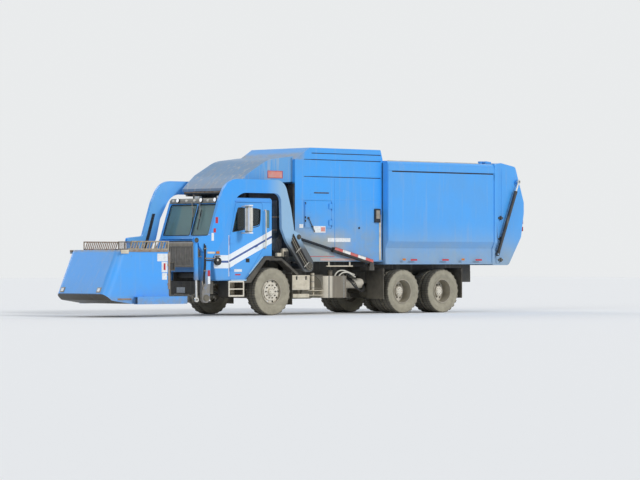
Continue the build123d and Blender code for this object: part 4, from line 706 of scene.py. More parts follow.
# %% [markdown]
# Wheels. Ten nuts hold each front rim on its hub, and a ring of bolts the hub's cap. A twin
# wheel's nuts lie deep in the dish. The tyres' shoulders get short lugs; the tread's
# grooves are in the rubber's material, so all the tyres together stay light.

# %% Wheel nuts and tyre lugs
nuts_ring, nut_radius, bolt_radius = 0.150, 0.017, 0.008
for side, sign in SIDES:
    # Body, axle, the name's end, hub, the nuts' y and length, the bolts' y, length and ring.
    hub = middle(f"front_rim_{side}")
    wheels = [(f"front_wheel_{side}", "front", side, hub, 1.162, 0.026, 1.213, 0.012, 0.060)]
    for row, hub_x in enumerate(rear_axle_xs, 1):
        hub = Vector((hub_x, 0, rear_radius))
        body = f"rear_wheels_{row}_{side}"
        wheels.append((body, "rear", f"{row}_{side}", hub, 0.950, 0.032, 1.088, 0.010, 0.068))
    for body, axle, place, hub, nut_y, nut_length, cap_y, bolt_length, cap_radius in wheels:
        grow(
            f"{axle}_wheel_nuts_{place}", ring_tree, body, "chassis_black",
            Count=10, Ring_radius=nuts_ring, Centre=(hub.x, sign * nut_y, hub.z),
            Nut_radius=nut_radius, Nut_length=nut_length, Material=cast_iron,
        )
        grow(
            f"{axle}_cap_bolts_{place}", ring_tree, body, "chassis_black",
            Count=8, Ring_radius=cap_radius, Centre=(hub.x, sign * cap_y, hub.z),
            Nut_radius=bolt_radius, Nut_length=bolt_length, Material=cast_iron,
        )
    tyres = [(f"front_tyre_{side}", f"front_wheel_{side}", front_radius, (1.065,), 0.155)]
    tyres += [
        (f"rear_tyres_{row}_{side}", f"rear_wheels_{row}_{side}", rear_radius, (1.080, 0.760), 0.140)
        for row in (1, 2)
    ]
    for tyre, body, radius, centres, half_width in tyres:
        for number, centre_y in enumerate(centres):
            for word, edge in (("out", 1), ("in", -1)):
                lug_y = sign * centre_y + edge * (half_width - 0.026)
                grow(
                    f"{tyre}_lugs_{number}_{word}", lug_tree, body, "tyre",
                    Count=24, Ring_radius=radius - 0.017, Centre=(middle(tyre).x, lug_y, radius),
                    Lug_size=(0.062, 0.036, 0.028), Material=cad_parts[tyre].data.materials[0],
                )
print("wheel details ready")

# %% [markdown]
# From here on, X counts from the front axle, and at() turns such a point into a place in the
# frame. Shapes on the truck's sides are given for the left side, and sign -1 mirrors them. A
# plain mesh gets its material, a bevel so that its edges catch the light, and its body.

# %% Places and meshes
def at(x, y, z):
    """Place in the frame of a point whose X counts from the front axle."""
    return axle_x + x, y, z


def skin(side_y, start=-0.002, end=0.004):
    """Y limits of something thin on a side: from just under its surface to just outside it."""
    return side_y + start, side_y + end


def mirrored(limits):
    """Boxes and their mirror images on the right side."""
    return limits + [(x_pair, (-y1, -y0), z_pair) for x_pair, (y0, y1), z_pair in limits]


def add_piece(name, mesh, material, body, bevel=0.0):
    """Object from a mesh, bevelled, riding on its body."""
    mesh.materials.append(material)
    piece = bpy.data.objects.new(name, mesh)
    bpy.context.scene.collection.objects.link(piece)
    if bevel:
        rounding = piece.modifiers.new("rounding", "BEVEL")
        rounding.width = bevel
        rounding.segments = 2
        rounding.limit_method = "ANGLE"
    settle(piece, body)


def add_solid(name, solid, material, body, bevel):
    """Object from a bmesh."""
    mesh = bpy.data.meshes.new(name)
    solid.to_mesh(mesh)
    solid.free()
    add_piece(name, mesh, material, body, bevel)


def prism(solid, corners, y_low, y_high):
    """Add an (x, z) outline to a bmesh, as a solid between two y values."""
    near = [solid.verts.new(at(x, y_low, z)) for x, z in corners]
    far = [solid.verts.new(at(x, y_high, z)) for x, z in corners]
    solid.faces.new(near)
    solid.faces.new(list(reversed(far)))
    for i in range(len(corners)):
        j = (i + 1) % len(corners)
        solid.faces.new((near[j], near[i], far[i], far[j]))


print("a point 1 m ahead of the axle is at", [round(v, 3) for v in at(1, 0, 0)])

# %% [markdown]
# The makers. A box set is several boxes in one mesh, and a plate is an outline in the side
# view, cut to a thickness. Discs lie across the truck, and knobs face any way. A pipe is a curve
# with a round section, turned into a mesh. both() makes a piece for each side.

# %% Boxes, plates, discs and knobs
def boxes(name, material, body, finish_slot, limits, bevel=0.004, sign=1):
    """Several boxes, each given by its limits in x, y and z."""
    solid = bmesh.new()
    for (x0, x1), (y0, y1), (z0, z1) in limits:
        centre = Matrix.Translation(at((x0 + x1) / 2, sign * (y0 + y1) / 2, (z0 + z1) / 2))
        size = Matrix.Diagonal((x1 - x0, y1 - y0, z1 - z0, 1.0))
        bmesh.ops.create_cube(solid, size=1.0, matrix=centre @ size)
    add_solid(name, solid, material, body, bevel)


def plate(name, material, body, finish_slot, outlines, y_pair, bevel=0.003, sign=1):
    """Side-view outlines of (x, z) corners, as plates between two y values."""
    solid = bmesh.new()
    for corners in outlines:
        prism(solid, corners, *sorted(sign * y for y in y_pair))
    bmesh.ops.recalc_face_normals(solid, faces=solid.faces)
    add_solid(name, solid, material, body, bevel)


def discs(name, material, body, finish_slot, rounds, sides=24, bevel=0.003, sign=1):
    """Round plates across the truck: x, z, radius and two y values."""
    solid = bmesh.new()
    steps = [2 * math.pi * i / sides for i in range(sides)]
    for x, z, radius, (y_from, y_to) in rounds:
        corners = [(x + radius * math.cos(turn), z + radius * math.sin(turn)) for turn in steps]
        prism(solid, corners, sign * y_from, sign * y_to)
    bmesh.ops.recalc_face_normals(solid, faces=solid.faces)
    add_solid(name, solid, material, body, bevel)


def knobs(name, material, body, finish_slot, spots, direction, sides=20, bevel=0.003, sign=1):
    """Short round pieces: centre, radius and length, all turned to face one way."""
    solid = bmesh.new()
    axis = Vector((direction[0], sign * direction[1], direction[2]))
    turn = axis.to_track_quat("Z", "Y").to_matrix().to_4x4()
    for (x, y, z), radius, length in spots:
        place = Matrix.Translation(at(x, sign * y, z)) @ turn
        bmesh.ops.create_cone(
            solid, cap_ends=True, segments=sides, radius1=radius, radius2=radius, depth=length, matrix=place
        )
    add_solid(name, solid, material, body, bevel)


print("box, plate, disc and knob makers ready")

# %% Pipes and pairs
def pipes(name, material, body, finish_slot, routes, radius, order=3, sign=1):
    """Round lines through the given points, one mesh for all of them."""
    curve = bpy.data.curves.new(name + "_line", "CURVE")
    curve.dimensions = "3D"
    curve.bevel_depth = radius
    curve.bevel_resolution = 2
    curve.use_fill_caps = True
    curve.resolution_u = 4
    for route in routes:
        spline = curve.splines.new("NURBS" if len(route) > 2 else "POLY")
        spline.points.add(len(route) - 1)
        for point, (x, y, z) in zip(spline.points, route):
            point.co = (*at(x, sign * y, z), 1.0)
        if len(route) > 2:
            spline.order_u = order
            spline.use_endpoint_u = True
    holder = bpy.data.objects.new(name + "_line", curve)
    bpy.context.scene.collection.objects.link(holder)
    bpy.context.view_layer.update()
    mesh = bpy.data.meshes.new_from_object(holder.evaluated_get(bpy.context.evaluated_depsgraph_get()))
    bpy.data.objects.remove(holder)
    mesh.materials.clear()
    add_piece(name, mesh, material, body)


def both(maker, name, material, body, *shape, **options):
    """Make a piece on the left side and its mirror image on the right."""
    for side, sign in SIDES:
        maker(f"{name}_{side}", material, body.format(side), *shape, sign=sign, **options)


print("pipes and pairs ready")

# %% [markdown]
# The cab's outside. Two wipers hang from the windscreen's upper edge. Grab rails, a rain gutter,
# seals and amber lamps dress the sides. The mirrors get their tubes and their glass, and each
# door has two small blank plates. A white strip down the cab ahead of the door is a painted
# highlight on the door's front edge.

# %% Windscreen wipers and seals
screen_tilt = math.atan2(0.285, 0.830)
screen_up = Vector((-math.sin(screen_tilt), 0, math.cos(screen_tilt)))
screen_out = Vector((math.cos(screen_tilt), 0, math.sin(screen_tilt)))
screen_middle = Vector((1.332, 0, 2.195))
second_arm = Vector((0, 0.028, 0))


def on_screen(across, up, out=0.0):
    """Point on the windscreen from its middle: to the truck's left, up the glass, out of it."""
    return screen_middle + screen_up * up + screen_out * out + Vector((0, across, 0))


wiper_arms = []
wiper_blades = []
for head, elbow, hand, top, low in (
    ((-0.27, 0.455), (-0.15, 0.43), (-0.055, 0.06), (-0.085, 0.25), (-0.005, -0.22)),
    ((0.013, 0.465), (0.11, 0.43), (0.195, 0.02), (0.190, 0.24), (0.222, -0.24)),
):
    route = [on_screen(*head, 0.055), on_screen(*elbow, 0.055), on_screen(*hand, 0.032)]
    wiper_arms.append(route)
    wiper_arms.append([point + second_arm for point in route])
    wiper_blades.append([on_screen(*top, 0.016), on_screen(*low, 0.016)])
pipes("wiper_arms", zinc_steel, "chassis", "cast_grey", wiper_arms, 0.007)
pipes("wiper_blades", trim_plastic, "chassis", "rubber_black", wiper_blades, 0.009)
pane_edge = [
    (-0.45, 0.375), (0.45, 0.375), (0.48, 0.345), (0.48, -0.345),
    (0.45, -0.375), (-0.45, -0.375), (-0.48, -0.345), (-0.48, 0.345), (-0.45, 0.375),
]
seal_lines = []
for pane_y in (0.505, -0.505):
    seal_lines.append([on_screen(pane_y + across, up, -0.004) for across, up in pane_edge])
pipes("windscreen_seals", hose_rubber, "chassis", "rubber_black", seal_lines, 0.011, order=2)
print("wipers and seals ready")

# %% Cab side trim
door = "door_{}"
rail = [(0.002, 2.42), (0.055, 2.42), (0.055, 1.55), (0.002, 1.55)]
both(
    pipes, "grab_rail", mirror_plastic, "chassis", "mirror_white",
    [[(0.145, cab_side_y + out, z) for out, z in rail]], 0.014, order=2,
)
both(
    boxes, "rain_gutter", cab_enamel, "chassis", "paint_blue",
    [((-0.06, 1.03), skin(cab_side_y, -0.004, 0.018), (2.603, 2.622))],
)
both(
    boxes, "door_handle", trim_plastic, door, "trim_black",
    [((0.60, 0.71), skin(cab_side_y, -0.003, 0.006), (1.22, 1.31)),
     ((0.615, 0.695), skin(cab_side_y, 0.004, 0.022), (1.275, 1.295)),
     ((0.615, 0.630), skin(cab_side_y, -0.002, 0.020), (1.275, 1.295)),
     ((0.680, 0.695), skin(cab_side_y, -0.002, 0.020), (1.275, 1.295))],
)
for name, material, finish_slot, x_pair, z_pair in (
    ("door_blank_plates", blank_plate, "mirror_white", (0.83, 1.06), (1.005, 1.065)),
    ("door_red_plate", red_tape, "lamp_red", (0.87, 1.03), (0.925, 0.955)),
):
    both(boxes, name, material, door, finish_slot, [(x_pair, skin(cab_side_y, -0.001, 0.003), z_pair)], 0.001)
seal = [
    (1.105, 1.915), (0.955, 2.47), (0.265, 2.45), (0.272, 2.20), (0.30, 2.06), (0.42, 2.03), (1.105, 1.915),
]
both(
    pipes, "door_window_seal", hose_rubber, door, "rubber_black",
    [[(x, cab_side_y - 0.006, z) for x, z in seal]], 0.012, order=2,
)
print("cab sides ready")

# %% Mirrors
mirror_y = (1.265, 1.435)
tubes = [[(x, 1.33, 1.90), (x, 1.33, 2.49)] for x in (0.902, 0.758)]
both(pipes, "mirror_tubes", mirror_plastic, door, "mirror_white", tubes, 0.013)
both(
    boxes, "mirror_clamps", zinc_steel, door, "mirror_white",
    [((0.745, 0.915), (1.305, 1.355), (z, z + 0.035)) for z in (1.905, 2.455)],
)
both(
    boxes, "mirror_caps", white_tape, door, "mirror_white",
    [((0.775, 0.890), mirror_y, (z, z + 0.032)) for z in (1.876, 2.498)]
    + [((0.872, 0.884), (y, y + 0.060), (1.93, 2.47)) for y in (1.270, 1.370)],
    0.006,
)
both(
    boxes, "mirror_glass", mirror_glass, door, "mirror_white",
    [((0.7815, 0.7855), mirror_y, z_pair) for z_pair in ((2.16, 2.44), (1.96, 2.13))], 0.002,
)
print("mirrors ready")

# %% Lamps and nose
boxes(
    "amber_corner_lamps", amber_plastic, "chassis", "lamp_lens",
    mirrored([
        ((lamp_face - 0.006, lamp_face + 0.006), (0.835, 0.925), (1.41, 1.49)),
        ((1.50, 1.60), skin(cab_side_y, -0.002, 0.012), (1.415, 1.475)),
    ]),
)
boxes(
    "bumper_light_box", blank_plate, "chassis", "mirror_white",
    [((1.742, 1.765), (-0.11, 0.18), (0.52, 0.65))],
)
# Painted highlight: a white strip for the light on the door's front edge.
both(
    boxes, "door_edge_strip", white_tape, "chassis", "mirror_white",
    [((1.214, 1.230), skin(cab_side_y, -0.002, 0.007), (0.90, 1.84))], 0.001,
)
print("cab trim ready")

# %% [markdown]
# The arms. Round caps with bolts cover the pivots, hydraulic lines run along the inside of the
# legs, and strips of red and white tape mark the front legs.

# %% Caps on the arms' pivots
pivot_x, pivot_z = -1.10, 1.13
both(
    discs, "arm_pivot_caps", cast_iron, "lift_arms", "cast_grey",
    [(pivot_x, pivot_z, 0.105, skin(arm_outer_y, -0.002, 0.018)),
     (pivot_x, pivot_z, 0.055, skin(arm_outer_y, 0.010, 0.032)),
     (2.30, 1.72, 0.055, skin(arm_outer_y, -0.002, 0.014)),
     (-0.78, 1.81, 0.060, skin(arm_outer_y, -0.002, 0.016)),
     (-0.78, 1.81, 0.030, skin(arm_outer_y, 0.010, 0.026))],
)
both(
    discs, "fork_shaft_caps", cast_iron, "forks", "cast_grey",
    [(2.02, 0.42, 0.075, skin(arm_outer_y, 0.008, 0.022))],
)
for side, sign in SIDES:
    grow(
        f"arm_pivot_bolts_{side}", ring_tree, "lift_arms", "cast_grey",
        Count=8, Ring_radius=0.080, Centre=at(pivot_x, sign * (arm_outer_y + 0.022), pivot_z),
        Nut_radius=0.010, Nut_length=0.010, Material=zinc_steel,
    )
for name, material, finish_slot, fields in (
    ("arm_red_tape", red_tape, "lamp_red",
     ((1.705, 2.175, 0.14, 0.075), (1.767, 1.943, 0.095, 0.07), (1.938, 0.976, 0.13, 0.07))),
    ("arm_white_tape", white_tape, "mirror_white", ((1.826, 1.797, 0.175, 0.07), (1.934, 0.820, 0.17, 0.07))),
):
    both(
        boxes, name, material, "lift_arms", finish_slot,
        [((x - width / 2, x + width / 2), skin(arm_outer_y, -0.001, 0.002), (z - height / 2, z + height / 2))
         for x, z, height, width in fields],
        0.0,
    )
print("caps and tape ready")

# %% Hydraulic lines on the arms
inner_y = arm_outer_y - 0.092
rear_route = [(-1.02, 1.24), (-0.84, 1.50), (-0.60, 1.86), (-0.46, 2.20), (-0.40, 2.60)]
front_route = [(1.62, 2.35), (1.80, 1.75), (2.05, 1.10), (2.06, 0.75)]
rear_lines = [[(x + 0.030 * i, inner_y, z) for x, z in rear_route] for i in range(4)]
front_lines = [[(x - 0.030 * i, inner_y, z) for x, z in front_route] for i in range(3)]
both(pipes, "arm_rear_hoses", hose_rubber, "lift_arms", "rubber_black", rear_lines, 0.011)
both(pipes, "arm_front_hoses", hose_rubber, "lift_arms", "rubber_black", front_lines, 0.010)
print("arm details ready")

# %% [markdown]
# Each lift cylinder carries a sheet guard over its upper half, with a skirt outside, in five long
# red and white fields. The fields come from a material that counts along the barrel.

# %% Striped guard
def hazard_stripes(name, direction, start, length):
    """Red and white fields of one length along a direction, the first one red."""
    made, tree, place = new_material(name)
    from_start = node(tree, "ShaderNodeVectorMath", {0: place, 1: start}, operation="SUBTRACT").outputs[0]
    along = node(tree, "ShaderNodeVectorMath", {0: from_start, 1: direction}, operation="DOT_PRODUCT")
    pair = maths(tree, "FRACT", maths(tree, "DIVIDE", along.outputs["Value"], 2 * length))
    colour = layer(tree, srgb("#ECE9E4"), "#CF5A55", maths(tree, "LESS_THAN", pair, 0.5))
    scuffs = remap(tree, noise(tree, place, 9.0, 5.0, 0.65), 0.48, 0.70, 0.0, 0.6)
    shade(tree, {"Base Color": layer(tree, colour, "#A39A8E", scuffs), "Roughness": 0.4})
    return made


run = Vector((2.42, 0, 0.59)).normalized()
rise = Vector((-run.z, 0, run.x))
barrel_foot = Vector((-3.20, 0, 1.22))
guard_from, guard_to, guard_fields = -0.03, 1.24, 5
guard_top = 0.071
guard_outer_y = 1.1665
guard_start = at(*(barrel_foot + run * guard_from))
field_length = (guard_to - guard_from) / guard_fields
guard_paint = hazard_stripes("red_white_guard_enamel", run, guard_start, field_length)
for name, low, inner in (("lift_cylinder_guard", 0.066, 1.055), ("lift_cylinder_skirt", 0.004, 1.1635)):
    corners = []
    for along, up in ((guard_from, low), (guard_to, low), (guard_to, guard_top), (guard_from, guard_top)):
        spot = barrel_foot + run * along + rise * up
        corners.append((spot.x, spot.z))
    both(plate, name, guard_paint, "lift_barrels", "paint_cream", [corners], (inner, guard_outer_y), 0.0)
print("guards ready")

# %% [markdown]
# The hopper, the canopy and the body. The hopper's side carries blank plates, a work lamp, a
# long hook and rivets, and the canopy's side a blank red sign. The body's side has amber
# reflectors and red strips along its lower edge, and rivets under the roof.

# %% Hopper's plates, lamp and hook
hopper_plates = (((-1.809, -1.432), (1.917, 2.071)), ((-2.607, -1.879), (1.702, 1.793)))
both(
    boxes, "hopper_blank_plates", blank_plate, "chassis", "mirror_white",
    [(x_pair, skin(hopper_side_y), z_pair) for x_pair, z_pair in hopper_plates], 0.001,
)
both(
    boxes, "hopper_work_lamp", trim_plastic, "chassis", "trim_black",
    [((-3.56, -3.38), skin(hopper_side_y, -0.002, 0.045), (2.17, 2.50))], 0.012,
)
both(
    boxes, "hopper_work_lamp_lens", frame_plastic, "chassis", "lamp_lens",
    [((-3.53, -3.41), skin(hopper_side_y, 0.035, 0.050), (2.26, 2.46))], 0.006,
)
both(
    boxes, "hopper_hook", cast_iron, "chassis", "cast_grey",
    [((-1.914, -1.448), skin(hopper_side_y, -0.002, 0.012), (2.838, 2.863))],
)
print("hopper's plates, lamp and hook ready")

# %% Canopy's sign, body's markers and rivets
both(
    boxes, "canopy_blank_sign", faded_red, "chassis", "lamp_red",
    [((-0.519, -0.088), skin(canopy_side_y), (3.179, 3.332))], 0.002,
)
sign_frame_y = skin(canopy_side_y, -0.002, 0.006)
both(
    boxes, "canopy_blank_sign_frame", red_tape, "chassis", "lamp_red",
    [((-0.535, -0.072), sign_frame_y, (z - 0.006, z + 0.006)) for z in (3.176, 3.335)]
    + [((x - 0.006, x + 0.006), sign_frame_y, (3.176, 3.335)) for x in (-0.529, -0.078)],
    0.001,
)
both(
    boxes, "body_reflectors", amber_plastic, "chassis", "lamp_lens",
    [((x - 0.05, x + 0.05), skin(body_side_y, -0.003, 0.010), (1.265, 1.315)) for x in (-4.20, -6.20)],
)
both(
    boxes, "body_red_strips", red_tape, "chassis", "lamp_red",
    [((x - 0.11, x + 0.11), skin(body_side_y, -0.001, 0.002), (1.26, 1.30)) for x in (-4.53, -5.60, -6.75)],
    0.0,
)
for name, count, x, side_y, z, step, radius in (
    ("hopper_front_rivets", 14, -1.33, hopper_side_y, 1.55, (0.0, 0.0, 0.105), 0.010),
    ("body_roof_rivets", 24, -3.95, body_side_y, 3.52, (-0.14, 0.0, 0.0), 0.009),
):
    for side, sign in SIDES:
        grow(
            f"{name}_{side}", rivet_tree, "chassis", "paint_blue",
            Count=count, Start=at(x, sign * (side_y + 0.002), z), Step=step, Head_radius=radius,
            Facing=(-sign * math.pi / 2, 0, 0), Material=body_enamel,
        )
print("hopper, canopy and body details ready")

# %% [markdown]
# Over the windscreen sits a sun visor of painted sheet, and round lamps stand on it. A dark gap
# runs under it. Below the glass a lip throws the rain off, and a black rubber strip closes the
# gap above the grille, as painted shade for that dark gap. The grille's surround is a moulded
# frame in a paler grey.

# %% Visor, cowl and grille frame
visor_line = [(0.392, 0.030), (0.398, 0.052), (0.455, 0.068), (0.520, 0.030), (0.515, 0.012), (0.455, 0.040)]
visor_spots = [on_screen(0.0, up, out) for up, out in visor_line]
visor_corners = [(spot.x, spot.z) for spot in visor_spots]
plate("windscreen_visor", visor_paint, "chassis", "cast_grey", [visor_corners], (-0.99, 0.99))
large_lamps = (-0.67, 0.17, 0.67)
small_lamps = (-0.85, -0.37, -0.08, 0.40, 0.85)
for name, material, finish_slot, places, up, out, radius, length, sides in (
    ("visor_lamp_housings", trim_plastic, "trim_black", large_lamps, 0.452, 0.080, 0.052, 0.036, 20),
    ("visor_lamp_lenses", lit_lens, "lamp_lens", large_lamps, 0.452, 0.099, 0.045, 0.010, 20),
    ("visor_small_lamps", lens_plastic, "lamp_lens", small_lamps, 0.448, 0.076, 0.028, 0.030, 14),
):
    spots = [(on_screen(y, up, out), radius, length) for y in places]
    knobs(name, material, "chassis", finish_slot, spots, (1, 0, 0.12), sides)
boxes("cowl_lip", cab_enamel, "chassis", "paint_blue", [((1.46, 1.535), (-0.98, 0.98), (1.752, 1.766))])
# Painted shade: a black strip for the dark gap above the grille.
boxes(
    "cowl_gap_shade", hose_rubber, "chassis", "rubber_black",
    [((1.60, 1.700), (-0.50, 0.50), (1.694, 1.716))], 0.006,
)
grille_x = (1.754, 1.764)
boxes(
    "grille_frame", frame_plastic, "chassis", "grille_grey",
    [(grille_x, (-0.455, 0.455), z_pair) for z_pair in ((1.588, 1.655), (1.122, 1.150))]
    + mirrored([(grille_x, (0.465, 0.495), (1.13, 1.64))]),
)
bezel_x = (lamp_face - 0.012, lamp_face + 0.010)
bezel_y = 0.88
bars = []
for z, half_y, half_z in ((1.265, 0.100, 0.079), (1.450, 0.067, 0.054)):
    for edge in (1, -1):
        level = z + edge * half_z
        upright = bezel_y + edge * half_y
        bars.append((bezel_x, (bezel_y - half_y, bezel_y + half_y), (level - 0.008, level + 0.008)))
        bars.append((bezel_x, (upright - 0.008, upright + 0.008), (z - half_z, z + half_z)))
boxes("headlamp_bezels", frame_plastic, "chassis", "grille_grey", mirrored(bars))
print("visor, cowl, grille frame and bezels ready")

# %% [markdown]
# Between the cab and the hopper sits the plumbing: a shelf on two legs from the frame rail,
# a tan valve block with its unions, hoses that drop towards the rails, and the
# breather pipe of the intake stack with a rusty band. From the left only a narrow
# triangle of it shows between the cab and the arm, so a few pieces are enough.

# %% Behind the cab
boxes(
    "valve_shelf", cast_iron, "chassis", "cast_grey",
    [((-0.62, -0.14), (0.436, 1.135), (1.345, 1.357))]
    + [((x, x + 0.05), (0.436, 0.480), (1.002, 1.350)) for x in (-0.60, -0.20)],
)
boxes(
    "valve_block", box_paint, "chassis", "paint_cream",
    [((-0.565, -0.395), (1.040, 1.130), (1.357, 1.520)),
     ((-0.360, -0.230), (1.045, 1.125), (1.357, 1.440)),
     ((-0.545, -0.415), (1.050, 1.120), (1.515, 1.548))],
    0.008,
)
union_xs = (-0.525, -0.480, -0.435)
unions = [((x, 1.137, z), 0.014, 0.026) for x in union_xs for z in (1.405, 1.465)]
knobs("valve_unions", zinc_steel, "chassis", "cast_grey", unions, (0, 1, 0), 6, 0.0)
lines = []
for i, x in enumerate(union_xs):
    lines.append([
        (x, 1.145, 1.465), (x + 0.02, 1.165, 1.40), (x - 0.02, 1.150, 1.30), (x - 0.12, 1.120, 1.15),
        (-0.74 - 0.03 * i, 1.08, 0.98), (-0.80 - 0.04 * i, 0.90, 0.935),
    ])
for i in range(4):
    lines.append([
        (-0.20 - 0.05 * i, 1.06, 1.44), (-0.18 - 0.05 * i, 1.12, 1.62), (-0.27 - 0.04 * i, 1.10, 1.83),
        (-0.42 - 0.03 * i, 1.04, 1.86), (-0.62, 0.96, 1.80 - 0.04 * i), (-0.845, 0.90, 1.78 - 0.05 * i),
    ])
pipes("cab_rear_hoses", hose_rubber, "chassis", "rubber_black", lines, 0.013)
bands = [((-0.290, 0.900, 2.270), 0.0965, 0.030), ((-0.290, 0.900, 1.970), 0.0965, 0.020)]
knobs("stack_rusty_band", rusty_steel, "chassis", "trim_black", bands, (0, 0, 1), 28)
boxes("stack_stay", cast_iron, "chassis", "cast_grey", [((-0.845, -0.375), (0.880, 0.905), (2.255, 2.285))])
print("plumbing behind the cab ready")

# %% [markdown]
# Along the frame's left side: the battery box gets a lid, latches and a toothed step, then come
# an upright filter, a gusset, and the tank's straps, caps and vent pipes. Air tanks and hoses lie
# ahead of the driven wheels on both sides. Each piece hangs on the rails or on its neighbour.

# %% Battery box and its step
boxes(
    "battery_lid", box_paint, "chassis", "paint_cream",
    [((-1.218, -0.662), (0.50, 1.158), (0.872, 0.922))], 0.008,
)
boxes(
    "battery_panels", box_paint, "chassis", "paint_cream",
    [((-1.190, -0.690), (1.148, 1.156), (0.600, 0.858)), ((-0.672, -0.664), (0.60, 1.13), (0.600, 0.858))],
    0.003,
)
boxes(
    "battery_latches", trim_plastic, "chassis", "trim_black",
    [((x, x + 0.030), (1.154, 1.172), (0.815, 0.900)) for x in (-1.10, -0.81)], 0.003,
)
grow(
    "battery_step_teeth", rib_tree, "chassis", "paint_cream",
    Count=13, Start=at(-1.175, 0.985, 0.476), Step=(0.039, 0.0, 0.0), Rib_size=(0.012, 0.31, 0.014),
    Lean=(0, 0, 0), Material=box_paint,
)
boxes(
    "battery_step_lip", box_paint, "chassis", "paint_cream",
    [((-1.192, -0.688), (1.142, 1.154), (0.400, 0.486))], 0.003,
)
print("battery box ready")

# %% Filter, gusset and tank dress
filter_x, filter_y = -1.375, 1.060
knobs(
    "upright_filter", box_paint, "chassis", "paint_cream",
    [((filter_x, filter_y, 0.770), 0.047, 0.40)], (0, 0, 1), 24, 0.006,
)
knobs(
    "filter_bands", zinc_steel, "chassis", "cast_grey",
    [((filter_x, filter_y, z), 0.050, 0.022) for z in (0.625, 0.770, 0.915)], (0, 0, 1), 24,
)
boxes(
    "filter_brackets", cast_iron, "chassis", "cast_grey",
    [((-1.340, -1.205), (1.035, 1.085), (z, z + 0.024)) for z in (0.615, 0.758)]
    + [((-1.700, -1.415), (1.045, 1.075), (z, z + 0.024)) for z in (0.600, 0.905)],
)
gusset = [(-1.46, 0.905), (-1.70, 0.905), (-1.70, 0.62), (-1.665, 0.62), (-1.62, 0.80)]
plate("tank_gusset", cast_iron, "chassis", "cast_grey", [gusset], (1.050, 1.062))
boxes(
    "tank_front_steps", box_paint, "chassis", "paint_cream",
    [((-1.70, -1.215), (0.96, 1.10), (z, z + 0.016)) for z in (0.445, 0.555)]
    + [((-1.46, -1.43), (1.00, 1.03), (0.445, 0.571))],
)
strap_ends = (
    ((1.106, 1.116), (0.385, 0.905)), ((0.480, 1.116), (0.898, 0.908)), ((0.480, 1.116), (0.382, 0.392)),
)
boxes(
    "tank_straps", zinc_steel, "chassis", "cast_grey",
    [((x - 0.022, x + 0.022), y_pair, z_pair) for x in (-1.86, -2.33) for y_pair, z_pair in strap_ends],
)
caps = [((-2.12, 0.85, 1.020), 0.068, 0.030), ((-2.42, 0.96, 0.915), 0.045, 0.040)]
knobs("tank_caps", cast_iron, "chassis", "cast_grey", caps, (0, 0, 1))
vent_routes = [
    [(-2.20, 0.93, 0.89), (-2.26, 0.93, 1.01), (-2.50, 0.92, 1.04), (-2.72, 0.90, 0.97), (-2.90, 0.86, 0.93),
     (-3.05, 0.70, 0.92), (-3.05, 0.44, 0.92)],
    [(-2.30, 0.97, 0.89), (-2.36, 0.97, 0.97), (-2.60, 0.96, 1.00), (-2.85, 0.92, 0.88),
     (-3.10, 0.70, 0.87), (-3.10, 0.44, 0.87)],
]
pipes("tank_vent_pipes", mirror_plastic, "chassis", "paint_cream", vent_routes, 0.017)
print("filter and tank ready")

# %% Air tanks and hoses ahead of the driven wheels
air_tanks = [((-3.03, y, 0.72), 0.115, 0.62) for y in (0.62, -0.62)]
knobs("air_tanks", tank_enamel, "chassis", "paint_cream", air_tanks, (1, 0, 0), 28, 0.03)
boxes(
    "air_tank_straps", cast_iron, "chassis", "cast_grey",
    mirrored([
        ((x - 0.02, x + 0.02), y_pair, z_pair)
        for x in (-2.85, -3.21)
        for y_pair, z_pair in (((0.432, 0.64), (0.83, 0.845)), ((0.432, 0.445), (0.745, 0.845)))
    ]),
)
lines = []
for sign in (1, -1):
    for i in range(4):
        lines.append([
            (-2.70 - 0.05 * i, sign * 0.44, 0.90), (-2.74 - 0.06 * i, sign * 0.80, 0.86),
            (-2.86 - 0.05 * i, sign * 0.90, 0.62 - 0.03 * i), (-3.16 - 0.03 * i, sign * 0.86, 0.52),
            (-3.34, sign * 0.70, 0.66 + 0.03 * i), (-3.38, sign * 0.44, 0.80 + 0.03 * i),
        ])
pipes("air_hoses", hose_rubber, "chassis", "rubber_black", lines, 0.012)
boxes(
    "rear_pipe_tray", box_paint, "chassis", "paint_cream",
    mirrored(
        [((-2.71, -1.87), (0.985, 1.020), (1.118, 1.146))]
        + [((x - 0.02, x + 0.02), (0.995, 1.010), (1.14, 1.25)) for x in (-1.95, -2.62)]
    ),
)
print("air tanks ready")

# %% [markdown]
# Pipes and hoses run down the outside of each arm's rear leg to its pivot: pale steel pipes
# with black hoses between them, held by clamps.

# %% Pipes and hoses on the rear legs
down = Vector((-0.418, 0, -0.561)).normalized()
across_leg = Vector((down.z, 0, -down.x))
bundle_middle = Vector((-0.775, arm_outer_y + 0.014, 1.470))
leg_lines = []
for i in range(7):
    head = bundle_middle + across_leg * (0.026 * (i - 3))
    start = head - down * (0.20 + 0.02 * i) + Vector((0.05, 0, 0.10))
    leg_lines.append([start, head - down * 0.12, head, head + down * 0.44])
steel_lines = [leg_lines.pop(4), leg_lines.pop(2)]
both(pipes, "arm_pivot_pipes", pipe_paint, "lift_arms", "paint_cream", steel_lines, 0.0080)
both(pipes, "arm_pivot_hoses", hose_rubber, "lift_arms", "rubber_black", leg_lines, 0.0125)
clamps = []
for reach in (-0.04, 0.38):
    spot = bundle_middle + down * reach
    ends = ((-0.014, -0.098), (0.014, -0.098), (0.014, 0.098), (-0.014, 0.098))
    turned = [spot + down * a + across_leg * b for a, b in ends]
    clamps.append([(corner.x, corner.z) for corner in turned])
both(plate, "arm_pipe_clamps", zinc_steel, "lift_arms", "cast_grey", clamps, skin(arm_outer_y, 0.0, 0.029))
print("pivot pipes ready")

